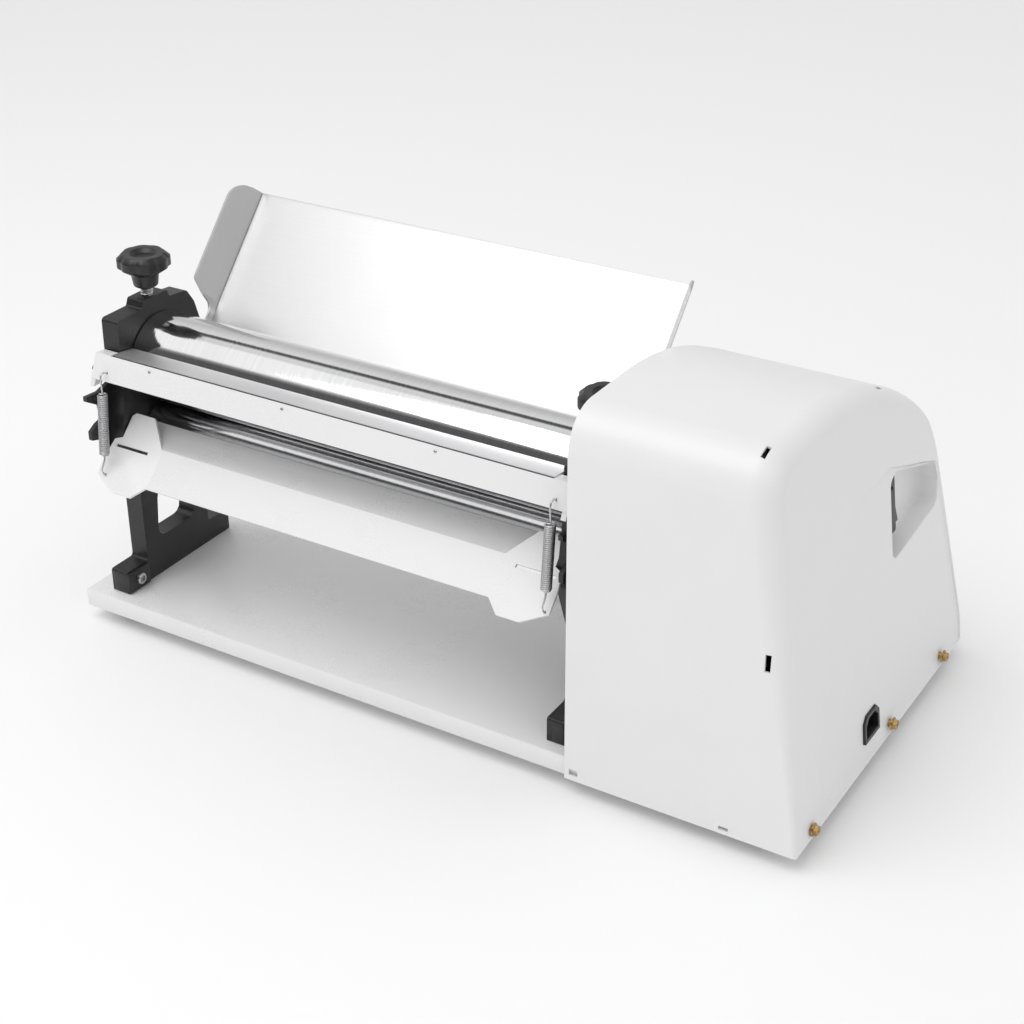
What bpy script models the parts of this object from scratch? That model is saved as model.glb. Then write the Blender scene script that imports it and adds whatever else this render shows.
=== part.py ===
"""Table-top electric dough sheeter: two steel rollers between cast side frames, driven by gears and a belt
under a moulded cover. Metres, +Z up, rollers along X, dough comes out towards -Y."""

import math

import bmesh
import bpy
from mathutils import Matrix, Vector

# ---- Driving dimensions. The bench frame has its origin at the base plate's front left bottom corner.
BASE_DEPTH = 0.3117
BASE_THICKNESS = 0.0154
BASE_LEFT_MARGIN = 0.0200
FOOT_HEIGHT = 0.0120
FOOT_RADIUS = 0.0150
FOOT_INSET = 0.0290

FRAME_SPACING = 0.3880
FRAME_THICKNESS = 0.0160
FRAME_TOE = 0.0027
RIGHT_FOOT_SHIFT = 0.0050
RIGHT_SIDE_ROOM = 0.0064
ARM_THICKNESS = 0.0040
FRAME_FRONT = 0.0110
FRAME_FLANGE_HEIGHT = 0.0192
BRIDGE_TOP = {"left": 0.2500, "right": 0.2320}
BRIDGE_THICKNESS = 0.0085

ROLLER_RADIUS = 0.0352
ROLLER_GAP = 0.0010
ROLLER_AXIS_Y = 0.0759
LOWER_AXIS_ABOVE_BASE = 0.1140
JOURNAL_RADIUS = 0.0110
JOURNAL_OVERHANG = 0.0020
BUSH_WALL = 0.0040
LIFT_TRAVEL = 0.0050
BLOCK_HALF_WIDTH = 0.0200
BLOCK_HALF_HEIGHT = 0.0160

SCREW_RADIUS = 0.0050
SCREW_INSET = 0.0050
SCREW_SHOWING = {"left": 0.0070, "right": 0.0052}
KNOB_RADIUS = 0.0205
KNOB_HEIGHT = 0.0145
KNOB_HUB_RADIUS = 0.0100
KNOB_HUB_HEIGHT = 0.0120
KNOB_LOBES = 8

LONG_GEAR_TEETH = 12
LONG_GEAR_WIDTH = 0.0130
BIG_PULLEY_RADIUS = 0.0520
SMALL_PULLEY_RADIUS = 0.0130
PULLEY_WIDTH = 0.0140
PULLEY_FLANGE = 0.0030
BELT_THICKNESS = 0.0030
BELT_WIDTH = 0.0090
MOTOR_RADIUS = 0.0450
MOTOR_LENGTH = 0.0850
MOTOR_AXIS_Y = 0.2330
MOTOR_SHAFT_RADIUS = 0.0060

COVER_LENGTH = 0.1762
COVER_WALL = 0.0025
COVER_HEIGHT = 0.2830
COVER_LEAN = 0.1250
COVER_RIM_BASE = 0.0020
COVER_RIM_TOP = 0.0180
SIDE_PANEL_THICKNESS = 0.0020
COVER_SCREW_RADIUS = 0.0025
COVER_SCREW_HEAD = 0.0050
COVER_SCREW_Z = 0.0076
POCKET_DEPTH = 0.0160
INLET_Y = 0.1320
INLET_WIDTH = 0.0270
INLET_BOTTOM = 0.0170
INLET_TOP = 0.0380

HOPPER_SLOPE = math.radians(47.6)
HOPPER_LENGTH = 0.1745
HOPPER_WALL = 0.0250
HOPPER_SPLAY = 0.0140
SHEET = 0.0015

SPRING_RADIUS = 0.0036
SPRING_WIRE = 0.0006
HOOK_CLEARANCE = 0.0004
CHUTE_THICKNESS = 0.0020
BLADE_CLEARANCE = 0.0008
EAR_THICKNESS = 0.0040
KNUCKLE_RADIUS = 0.0065

SEAT_GAP = 0.0003
RUNNING_GAP = 0.0004
SHAFT_CLEARANCE = 0.0003

# ---- Sizes and places worked out from the driving dimensions.
LEFT_FRAME_X = BASE_LEFT_MARGIN
LEFT_INNER_X = LEFT_FRAME_X + FRAME_THICKNESS
RIGHT_INNER_X = LEFT_INNER_X + FRAME_SPACING
RIGHT_OUTER_X = RIGHT_INNER_X + FRAME_THICKNESS
COVER_LEFT_X = RIGHT_OUTER_X + RIGHT_SIDE_ROOM
COVER_RIGHT_X = COVER_LEFT_X + COVER_LENGTH
COVER_FRONT_Y = -COVER_WALL - RUNNING_GAP
COVER_BACK_Y = BASE_DEPTH + COVER_WALL + RUNNING_GAP
BASE_TOP = BASE_THICKNESS
BASE_LENGTH = COVER_RIGHT_X - COVER_LEAN * BASE_TOP - 1.05 * COVER_WALL - RUNNING_GAP
FRAME_BOTTOM = BASE_TOP + SEAT_GAP
LOWER_AXIS_Z = BASE_TOP + LOWER_AXIS_ABOVE_BASE
AXIS_DISTANCE = 2 * ROLLER_RADIUS + ROLLER_GAP
UPPER_AXIS_Z = LOWER_AXIS_Z + AXIS_DISTANCE
BUSH_RADIUS = JOURNAL_RADIUS + BUSH_WALL
SIDE_PANEL_X = COVER_LEFT_X + 0.0080
LONG_GEAR_X = SIDE_PANEL_X + SIDE_PANEL_THICKNESS + 0.0030
PULLEY_X = LONG_GEAR_X + LONG_GEAR_WIDTH + 0.0060
MOTOR_X = PULLEY_X + PULLEY_WIDTH + 0.0060
MOTOR_AXIS_Z = BASE_TOP + MOTOR_RADIUS + 0.0060
BLOCK_TOP = UPPER_AXIS_Z + BLOCK_HALF_HEIGHT
FRAME_CENTRE = {"left": LEFT_FRAME_X + FRAME_THICKNESS / 2, "right": RIGHT_INNER_X + FRAME_THICKNESS / 2}
UPPER_PIN = (ROLLER_AXIS_Y - 0.0509, UPPER_AXIS_Z + 0.0067)
LOWER_PIN = (ROLLER_AXIS_Y - 0.0454, LOWER_AXIS_Z + 0.0186)
PIN_RADIUS = 0.0025
HOPPER_FOOT = Vector((ROLLER_AXIS_Y + 0.0206, LOWER_AXIS_Z + 0.0319))
HOPPER_ALONG = Vector((math.cos(HOPPER_SLOPE), math.sin(HOPPER_SLOPE)))
HOPPER_UP = Vector((-math.sin(HOPPER_SLOPE), math.cos(HOPPER_SLOPE)))
HOPPER_SCREW = HOPPER_FOOT + 0.0370 * HOPPER_ALONG + 0.0045 * HOPPER_UP
SMALL_SCREW_RADIUS = 0.0025

parts = None
cutters = None
origin = None
finishes = {}


# ---- Tools of the bench: each makes one kind of shape.
def clear_scene():
    for item in list(bpy.data.objects):
        bpy.data.objects.remove(item, do_unlink=True)


def new_collection(name):
    made = bpy.data.collections.new(name)
    bpy.context.scene.collection.children.link(made)
    return made


def finish(name, colour, roughness, metallic=0.0):
    """A Principled BSDF material, made once for each finish."""
    if name not in finishes:
        made = bpy.data.materials.new(name)
        made.use_nodes = True
        shader = made.node_tree.nodes["Principled BSDF"]
        shader.inputs["Base Color"].default_value = (*colour, 1.0)
        shader.inputs["Roughness"].default_value = roughness
        shader.inputs["Metallic"].default_value = metallic
        finishes[name] = made
    return finishes[name]


def white_plastic():
    return finish("white_plastic", (0.86, 0.86, 0.86), 0.35)


def white_enamel():
    return finish("white_enamel", (0.88, 0.88, 0.88), 0.3)


def black_casting():
    return finish("black_casting", (0.02, 0.02, 0.022), 0.5)


def black_plastic():
    return finish("black_plastic", (0.02, 0.02, 0.02), 0.4)


def chrome():
    return finish("chrome", (0.85, 0.85, 0.86), 0.12, 1.0)


def bright_steel():
    return finish("bright_steel", (0.65, 0.65, 0.66), 0.3, 1.0)


def bronze():
    return finish("bronze", (0.55, 0.40, 0.20), 0.4, 1.0)


def rubber():
    return finish("rubber", (0.03, 0.03, 0.03), 0.8)


def aluminium():
    return finish("aluminium", (0.75, 0.75, 0.76), 0.4, 1.0)


def add_object(name, data, material, cutter):
    made = bpy.data.objects.new(name, data)
    (cutters if cutter else parts).objects.link(made)
    if cutter:
        made.hide_render = True
        made.display_type = "WIRE"
    else:
        data.materials.append(material)
    made.parent = origin
    return made


def block(name, low, high, material=None, bevel=0.0, cutter=False, pivot=None):
    """A box between two corners, its origin at its centre or at a pivot, its edges bevelled."""
    low, high = Vector(low), Vector(high)
    place = Vector(pivot) if pivot else (low + high) / 2
    mesh = bpy.data.meshes.new(name)
    shape = bmesh.new()
    bmesh.ops.create_cube(shape, size=1.0)
    bmesh.ops.scale(shape, vec=high - low, verts=shape.verts)
    bmesh.ops.translate(shape, vec=(low + high) / 2 - place, verts=shape.verts)
    shape.to_mesh(mesh)
    shape.free()
    made = add_object(name, mesh, material, cutter)
    made.location = place
    if bevel:
        edge = made.modifiers.new("edges", "BEVEL")
        edge.width = bevel
        edge.segments = 2
        edge.limit_method = "ANGLE"
    return made


ALONG_X = (0.0, math.pi / 2, 0.0)
ALONG_Z = (0.0, 0.0, 0.0)


def turned(name, outer, place, turn=ALONG_X, inner=(), material=None, steps=32, cutter=False):
    """A turned solid: outer is (height, radius) from the top down, inner the bore from the bottom up."""
    outline = [(radius, height) for height, radius in outer]
    bore = [(radius, height) for height, radius in inner]
    if not bore:
        outline = [(0.0, outline[0][1])] + outline + [(0.0, outline[-1][1])]
    mesh = bpy.data.meshes.new(name)
    shape = bmesh.new()
    corners = [shape.verts.new((radius, 0.0, height)) for radius, height in outline + bore]
    for first, second in zip(corners, corners[1:]):
        shape.edges.new((first, second))
    if bore:
        shape.edges.new((corners[-1], corners[0]))
    shape.to_mesh(mesh)
    shape.free()
    made = add_object(name, mesh, material, cutter)
    made.location = place
    made.rotation_euler = turn
    screw = made.modifiers.new("turn", "SCREW")
    screw.axis = "Z"
    screw.steps = steps
    screw.render_steps = steps
    screw.use_merge_vertices = True
    screw.merge_threshold = 0.00001
    screw.use_smooth_shade = True
    return made


def rounded(corners, steps=3):
    """An outline of (y, z, radius) corners as points, with an arc at each corner that has a radius."""
    points = []
    for index, (y, z, radius) in enumerate(corners):
        here = Vector((y, z))
        if radius <= 0:
            points.append(here)
            continue
        before = (Vector(corners[index - 1][:2]) - here).normalized()
        after = (Vector(corners[(index + 1) % len(corners)][:2]) - here).normalized()
        half = before.angle(after) / 2
        centre = here + (before + after).normalized() * radius / math.sin(half)
        start = here + before * radius / math.tan(half) - centre
        end = here + after * radius / math.tan(half) - centre
        first = math.atan2(start.y, start.x)
        sweep = math.remainder(math.atan2(end.y, end.x) - first, 2 * math.pi)
        for step in range(steps + 1):
            turn = first + sweep * step / steps
            points.append(centre + radius * Vector((math.cos(turn), math.sin(turn))))
    return points


def outline_curve(name, outlines, thickness):
    """A flat curve with filled faces, the first outline its edge and the others its holes."""
    curve = bpy.data.curves.new(name, "CURVE")
    curve.dimensions = "2D"
    curve.fill_mode = "BOTH"
    curve.extrude = thickness / 2
    for outline in outlines:
        spline = curve.splines.new("POLY")
        spline.points.add(len(outline) - 1)
        spline.use_cyclic_u = True
        for point, (first, second) in zip(spline.points, outline):
            point.co = (first, second, 0.0, 1.0)
    return curve


def flat_mesh(name, outlines, thickness):
    """The closed mesh of a flat plate, its outlines in its own XY plane."""
    curve = outline_curve(name + "_outline", outlines, thickness)
    guide = bpy.data.objects.new(name + "_outline", curve)
    parts.objects.link(guide)
    bpy.context.view_layer.update()
    mesh = bpy.data.meshes.new_from_object(guide.evaluated_get(bpy.context.evaluated_depsgraph_get()))
    bpy.data.objects.remove(guide, do_unlink=True)
    weld_mesh(mesh)
    return mesh


def plate(name, outlines, x_low, x_high, material=None, cutter=False, axis=(0.0, 0.0)):
    """A flat plate across X with its outlines in (y, z), its origin on the (y, z) of axis."""
    moved = [[(y - axis[0], z - axis[1]) for y, z in outline] for outline in outlines]
    made = add_object(name, flat_mesh(name, moved, x_high - x_low), material, cutter)
    made.location = ((x_low + x_high) / 2, axis[0], axis[1])
    made.rotation_euler = (math.pi / 2, 0.0, math.pi / 2)
    return made


def leaned_plate(name, outlines, x_low, x_high, material=None, cutter=False):
    """A plate across X that leans with the cover's right face: its ends move inwards with height."""
    made = plate(name, outlines, x_low, x_high, material, cutter)
    lean = Matrix.Identity(4)
    lean[2][1] = -COVER_LEAN
    made.data.transform(lean)
    return made


def weld_mesh(mesh):
    shape = bmesh.new()
    shape.from_mesh(mesh)
    bmesh.ops.remove_doubles(shape, verts=shape.verts, dist=0.000001)
    bmesh.ops.recalc_face_normals(shape, faces=shape.faces)
    shape.to_mesh(mesh)
    shape.free()


def round_hole(y, z, radius, steps=24):
    turns = [2 * math.pi * step / steps for step in range(steps)]
    return [(y + radius * math.cos(turn), z + radius * math.sin(turn)) for turn in turns]


def boolean(target, other, operation):
    made = target.modifiers.new(other.name, "BOOLEAN")
    made.operation = operation
    made.solver = "EXACT"
    made.object = other
    return target


def cut(target, cutter):
    return boolean(target, cutter, "DIFFERENCE")


def fuse(target, other):
    return boolean(target, other, "UNION")


def wire(name, points, radius, material, rings=2):
    """A round wire through the points, with closed ends."""
    curve = bpy.data.curves.new(name, "CURVE")
    curve.dimensions = "3D"
    curve.bevel_depth = radius
    curve.bevel_resolution = rings
    curve.use_fill_caps = True
    spline = curve.splines.new("POLY")
    spline.points.add(len(points) - 1)
    for point, place in zip(spline.points, points):
        point.co = (*place, 1.0)
    return add_object(name, curve, material, False)


def screw_hole(name, place, reach):
    """The cutter of a cover screw's hole, as far to each side of its place as reach."""
    radius = COVER_SCREW_RADIUS + SHAFT_CLEARANCE
    return turned(name, [(reach, radius), (-reach, radius)], place, steps=16, cutter=True)


# ---- Base plate and feet.
def make_base():
    """The enamelled plate that everything stands on, with blind holes for the cover's screws."""
    base = block("base_plate", (0, 0, 0), (BASE_LENGTH, BASE_DEPTH, BASE_THICKNESS), white_enamel(), 0.0015)
    for index, y in enumerate(cover_screw_places()):
        place = (BASE_LENGTH, y, COVER_SCREW_Z)
        cut(base, screw_hole(f"base_screw_hole_{index}", place, 0.020))


def make_feet():
    """Four rubber feet under the base plate's corners, tapered to a flat tread."""
    across = (FOOT_INSET, BASE_LENGTH - FOOT_INSET)
    along = (FOOT_INSET, BASE_DEPTH - FOOT_INSET)
    names = ("front_left", "rear_left", "front_right", "rear_right")
    places = [(x, y) for x in across for y in along]
    shoulder = -SEAT_GAP - 0.4 * FOOT_HEIGHT
    tread = 0.75 * FOOT_RADIUS
    profile = [(-SEAT_GAP, FOOT_RADIUS), (shoulder, FOOT_RADIUS), (-FOOT_HEIGHT, tread)]
    for name, (x, y) in zip(names, places):
        turned("rubber_foot_" + name, profile, (x, y, 0.0), ALONG_Z, material=rubber(), steps=20)


# ---- Side frames.
def frame_outline(top):
    """The casting's edge from the front toe over the bridge to the rear toe."""
    column = top - 0.0060
    return [
        (FRAME_FRONT, FRAME_BOTTOM, 0.0),
        (FRAME_FRONT, FRAME_BOTTOM + FRAME_FLANGE_HEIGHT, 0.002),
        (0.0365, FRAME_BOTTOM + FRAME_FLANGE_HEIGHT, 0.003),
        (0.0365, LOWER_AXIS_Z - 0.031, 0.006),
        (0.0226, LOWER_AXIS_Z + 0.007, 0.006),
        (0.0310, LOWER_AXIS_Z + 0.059, 0.010),
        (0.0320, column, 0.003),
        (0.0600, column, 0.002),
        (0.0625, top, 0.002),
        (0.0895, top, 0.002),
        (0.0920, column, 0.002),
        (0.1120, column - 0.002, 0.005),
        (0.1200, column - 0.014, 0.005),
        (0.1280, HOPPER_SCREW.y + 0.012, 0.005),
        (0.1280, HOPPER_SCREW.y - 0.012, 0.006),
        (0.1130, LOWER_AXIS_Z, 0.010),
        (0.1130, FRAME_BOTTOM + FRAME_FLANGE_HEIGHT, 0.003),
        (0.1385, FRAME_BOTTOM + FRAME_FLANGE_HEIGHT, 0.002),
        (0.1385, FRAME_BOTTOM, 0.0),
    ]


def block_window(clearance):
    """The rounded opening that a bearing block slides in."""
    front = ROLLER_AXIS_Y - BLOCK_HALF_WIDTH - clearance
    back = ROLLER_AXIS_Y + BLOCK_HALF_WIDTH + clearance
    low = UPPER_AXIS_Z - BLOCK_HALF_HEIGHT - SEAT_GAP
    high = BLOCK_TOP + LIFT_TRAVEL + 0.0005
    return rounded([(front, low, 0.001), (back, low, 0.001), (back, high, 0.001), (front, high, 0.001)])


def leg_window():
    """The opening between the casting's two legs."""
    low, high = FRAME_BOTTOM + 0.0323, FRAME_BOTTOM + 0.0763
    return rounded([(0.052, low, 0.008), (0.098, low, 0.008), (0.094, high, 0.010), (0.056, high, 0.010)])


def scraper_fork():
    """The two prongs that stand out in front of the casting beside the scrapers."""
    low, high = LOWER_AXIS_Z + 0.010, LOWER_AXIS_Z + 0.0655
    return [
        (0.0360, high), (0.0170, high - 0.006), (0.0030, high - 0.005), (0.0030, high - 0.009),
        (0.0160, high - 0.017), (0.0180, high - 0.029), (0.0110, high - 0.031), (0.0040, high - 0.035),
        (0.0040, high - 0.042), (0.0140, high - 0.045), (0.0210, low + 0.002), (0.0360, low),
    ]


def make_side_frame(side):
    """A cast side frame: it carries the lower roller's bush and guides the upper roller's block."""
    left = side == "left"
    low = LEFT_FRAME_X if left else RIGHT_INNER_X
    high = low + FRAME_THICKNESS
    top = BRIDGE_TOP[side]
    centre = FRAME_CENTRE[side]
    bush_seat = round_hole(ROLLER_AXIS_Y, LOWER_AXIS_Z, BUSH_RADIUS + SEAT_GAP, 32)
    pin_seat = round_hole(*LOWER_PIN, PIN_RADIUS + SHAFT_CLEARANCE, 12)
    screw_seat = round_hole(*HOPPER_SCREW, SMALL_SCREW_RADIUS + SHAFT_CLEARANCE, 12)
    holes = [block_window(RUNNING_GAP), leg_window(), bush_seat, pin_seat, screw_seat]
    frame = plate("side_frame_" + side, [rounded(frame_outline(top))] + holes, low, high, black_casting())
    fork_low = low if left else high - 0.0035
    fork = plate(f"scraper_fork_{side}", [scraper_fork()], fork_low, fork_low + 0.0035, cutter=True)
    toe_low = low + 0.002 if left else low + RIGHT_FOOT_SHIFT
    toe_high = high + FRAME_TOE if left else high - 0.002
    toe_front = (toe_low, FRAME_FRONT - 0.0008, FRAME_BOTTOM + 0.0006)
    toe_back = (toe_high, FRAME_FRONT + 0.024, FRAME_BOTTOM + FRAME_FLANGE_HEIGHT - 0.0012)
    toe = block(f"toe_block_{side}", toe_front, toe_back, bevel=0.001, cutter=True)
    bore = SCREW_RADIUS + SHAFT_CLEARANCE
    shaft = [(top + 0.01, bore), (BLOCK_TOP - 0.001, bore)]
    hole = turned(f"adjuster_hole_{side}", shaft, (centre, ROLLER_AXIS_Y, 0.0), ALONG_Z, cutter=True)
    fuse(frame, fork)
    fuse(frame, toe)
    cut(frame, hole)
    return frame


# ---- Rollers, bushes, bearing blocks and gears.
def roller_profile(right_end):
    """Shell, shoulders and journals of a roller, from its right end leftwards."""
    journal = JOURNAL_RADIUS
    right = RIGHT_INNER_X - RUNNING_GAP
    left = LEFT_INNER_X + RUNNING_GAP
    chamfer = 0.0010
    return [
        (right_end, journal - chamfer),
        (right_end - chamfer, journal),
        (right, journal),
        (right, ROLLER_RADIUS - chamfer),
        (right - chamfer, ROLLER_RADIUS),
        (left + chamfer, ROLLER_RADIUS),
        (left, ROLLER_RADIUS - chamfer),
        (left, journal),
        (LEFT_FRAME_X - 0.0020, journal),
        (LEFT_FRAME_X - 0.0030, journal - chamfer),
    ]


def make_rollers():
    """The driven lower roller and the lifting upper roller."""
    lower_end = PULLEY_X + PULLEY_WIDTH + JOURNAL_OVERHANG
    upper_end = LONG_GEAR_X + LONG_GEAR_WIDTH + JOURNAL_OVERHANG
    for name, end, z in (("lower_roller", lower_end, LOWER_AXIS_Z), ("upper_roller", upper_end, UPPER_AXIS_Z)):
        turned(name, roller_profile(end), (0, ROLLER_AXIS_Y, z), material=chrome(), steps=40)


def make_bush(name, low, z):
    """A bronze bush as long as the frame is thick."""
    high = low + FRAME_THICKNESS
    bore = JOURNAL_RADIUS + SHAFT_CLEARANCE
    outer = [(high, BUSH_RADIUS), (low, BUSH_RADIUS)]
    inner = [(low, bore), (high, bore)]
    turned(name, outer, (0, ROLLER_AXIS_Y, z), inner=inner, material=bronze(), steps=32)


def make_bearing_block(side):
    """The sliding block that carries one end of the upper roller."""
    low = LEFT_FRAME_X if side == "left" else RIGHT_INNER_X
    front, back = ROLLER_AXIS_Y - BLOCK_HALF_WIDTH, ROLLER_AXIS_Y + BLOCK_HALF_WIDTH
    bottom = UPPER_AXIS_Z - BLOCK_HALF_HEIGHT
    corners = ((front, bottom), (back, bottom), (back, BLOCK_TOP), (front, BLOCK_TOP))
    edge = [(*corner, 0.001) for corner in corners]
    seat = round_hole(ROLLER_AXIS_Y, UPPER_AXIS_Z, BUSH_RADIUS + SEAT_GAP, 32)
    plate("bearing_block_" + side, [rounded(edge), seat], low, low + FRAME_THICKNESS, black_casting())


def make_scraper_arm(side):
    """The pointed arm that a bearing block carries outside its frame, with the scraper's pivot pin."""
    left = side == "left"
    low = LEFT_FRAME_X - RUNNING_GAP - ARM_THICKNESS if left else RIGHT_OUTER_X + RUNNING_GAP
    high = low + ARM_THICKNESS
    y, z = UPPER_PIN
    edge = [
        (y - 0.0060, z - 0.0030, 0.0015),
        (y + 0.0030, z + 0.0060, 0.0020),
        (ROLLER_AXIS_Y - 0.0160, UPPER_AXIS_Z + 0.0180, 0.0080),
        (ROLLER_AXIS_Y + 0.0180, UPPER_AXIS_Z + 0.0180, 0.0090),
        (ROLLER_AXIS_Y + 0.0180, UPPER_AXIS_Z - 0.0180, 0.0090),
        (ROLLER_AXIS_Y - 0.0160, UPPER_AXIS_Z - 0.0180, 0.0080),
        (y + 0.0060, z - 0.0060, 0.0020),
    ]
    seat = round_hole(ROLLER_AXIS_Y, UPPER_AXIS_Z, JOURNAL_RADIUS + SHAFT_CLEARANCE, 32)
    arm = plate("scraper_arm_" + side, [rounded(edge), seat], low, high, black_casting())
    pin_ends = (low + 0.001, LEFT_FRAME_X + 0.0070) if left else (RIGHT_OUTER_X - 0.0070, high - 0.001)
    profile = [(pin_ends[1], PIN_RADIUS), (pin_ends[0], PIN_RADIUS)]
    fuse(arm, turned(f"arm_pin_{side}", profile, (0, y, z), steps=16, cutter=True))


def gear_outline(y, z, radius, phase):
    """A long-toothed gear that stays in mesh while the rollers move apart."""
    tooth = ((-10.5, -0.0086), (-6.6, 0.0), (-1.6, 0.0070), (1.6, 0.0070), (6.6, 0.0), (10.5, -0.0086))
    points = []
    for index in range(LONG_GEAR_TEETH):
        middle = phase + 360.0 * index / LONG_GEAR_TEETH
        for offset, beyond in tooth:
            turn = math.radians(middle + offset)
            reach = radius + beyond
            points.append((y + reach * math.cos(turn), z + reach * math.sin(turn)))
    return points


def make_long_gears():
    """The pair of gears that turns the upper roller against the lower one."""
    half_pitch = 180.0 / LONG_GEAR_TEETH
    rows = (("lower_long_gear", LOWER_AXIS_Z, 90.0), ("upper_long_gear", UPPER_AXIS_Z, half_pitch - 90.0))
    for name, z, phase in rows:
        bore = round_hole(ROLLER_AXIS_Y, z, JOURNAL_RADIUS + SEAT_GAP, 32)
        edge = gear_outline(ROLLER_AXIS_Y, z, AXIS_DISTANCE / 2, phase)
        high = LONG_GEAR_X + LONG_GEAR_WIDTH
        plate(name, [edge, bore], LONG_GEAR_X, high, bright_steel(), axis=(ROLLER_AXIS_Y, z))


# ---- Adjusting screws and knobs.
def hub_bottom(side):
    return BRIDGE_TOP[side] + SCREW_SHOWING[side]


def make_adjusting_screw(side):
    """The screw between a knob and its bearing block."""
    top = hub_bottom(side) + 0.0100
    bottom = BLOCK_TOP + SEAT_GAP
    profile = [(top, SCREW_RADIUS), (bottom + 0.001, SCREW_RADIUS), (bottom, SCREW_RADIUS - 0.001)]
    place = (FRAME_CENTRE[side], ROLLER_AXIS_Y, 0)
    turned("adjusting_screw_" + side, profile, place, ALONG_Z, material=bright_steel(), steps=24)


def make_knob(side):
    """The lobed black hand knob with its hub and dished top."""
    x, y = FRAME_CENTRE[side], ROLLER_AXIS_Y
    bottom = hub_bottom(side)
    mean = 0.91 * KNOB_RADIUS
    wave = KNOB_RADIUS - mean
    turns = [2 * math.pi * step / 64 for step in range(64)]
    reaches = [mean + wave * math.cos(KNOB_LOBES * turn) for turn in turns]
    edge = [(reach * math.cos(turn), reach * math.sin(turn)) for reach, turn in zip(reaches, turns)]
    knob = add_object("knob_" + side, flat_mesh("knob", [edge], KNOB_HEIGHT), black_plastic(), False)
    knob.location = (x, y, bottom + KNOB_HUB_HEIGHT + KNOB_HEIGHT / 2)
    soften = knob.modifiers.new("edges", "BEVEL")
    soften.width = 0.0035
    soften.segments = 2
    soften.limit_method = "ANGLE"
    soften.angle_limit = math.radians(60)
    hub = [(bottom + KNOB_HUB_HEIGHT + 0.004, 1.2 * KNOB_HUB_RADIUS), (bottom, KNOB_HUB_RADIUS)]
    fuse(knob, turned(f"knob_hub_{side}", hub, (x, y, 0), ALONG_Z, steps=24, cutter=True))
    top = bottom + KNOB_HUB_HEIGHT + KNOB_HEIGHT
    dish = [(top + 0.002, 0.0125), (top - 0.0025, 0.0070)]
    cut(knob, turned(f"knob_dish_{side}", dish, (x, y, 0), ALONG_Z, steps=24, cutter=True))
    bore = [(bottom + 0.0103, SCREW_RADIUS + SEAT_GAP), (bottom - 0.001, SCREW_RADIUS + SEAT_GAP)]
    cut(knob, turned(f"knob_bore_{side}", bore, (x, y, 0), ALONG_Z, steps=24, cutter=True))


# ---- Scrapers and their springs.
def make_upper_scraper():
    """The angle bar over the upper roller: a blade behind, a deep flange in front, an ear at each end."""
    y, z = UPPER_PIN
    bar = [
        (y + 0.0196, z + 0.0098), (y - 0.0050, z + 0.0131), (y - 0.0130, z - 0.0049),
        (y - 0.0095, z - 0.0065), (y - 0.0022, z + 0.0088), (y + 0.0100, z + 0.0078),
    ]
    ear = [
        (y + 0.0045, z + 0.0100), (y - 0.0050, z + 0.0122), (y - 0.0122, z - 0.0049),
        (y - 0.0150, z - 0.0105), (y - 0.0060, z - 0.0105), (y + 0.0045, z - 0.0040),
    ]
    low, high = LEFT_FRAME_X + 0.0020, RIGHT_OUTER_X - 0.0020
    hole = round_hole(y, z, PIN_RADIUS + SHAFT_CLEARANCE, 16)
    scraper = plate("upper_scraper", [bar], low, high, white_enamel(), axis=UPPER_PIN)
    back_low, back_high = (y + 0.0050, z - 0.02), (ROLLER_AXIS_Y, z + 0.03)
    blade_left, blade_right = LEFT_INNER_X + BLADE_CLEARANCE, RIGHT_INNER_X - BLADE_CLEARANCE
    for side, start, end in (("left", low - 0.01, blade_left), ("right", blade_right, high + 0.01)):
        cut(scraper, block(f"blade_corner_{side}", (start, *back_low), (end, *back_high), cutter=True))
    fuse(scraper, plate("upper_ear_left", [ear, hole], low, low + EAR_THICKNESS, cutter=True))
    fuse(scraper, plate("upper_ear_right", [ear, hole], high - EAR_THICKNESS, high, cutter=True))
    hook = [(0.0080, SPRING_WIRE + HOOK_CLEARANCE), (-0.0080, SPRING_WIRE + HOOK_CLEARANCE)]
    through_flange = (math.radians(65), 0, 0)
    for side, x in spring_places():
        place = (x, y - 0.0100, z + 0.0010)
        cut(scraper, turned(f"hook_hole_{side}", hook, place, through_flange, cutter=True))


def spring_places():
    return (("left", LEFT_INNER_X + 0.0002), ("right", RIGHT_OUTER_X - 0.0120))


def slope_point(y):
    """The (y, z) on the chute's front plane, which rises at forty-five degrees."""
    return (y, LOWER_AXIS_Z - 0.0014 + y)


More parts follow.
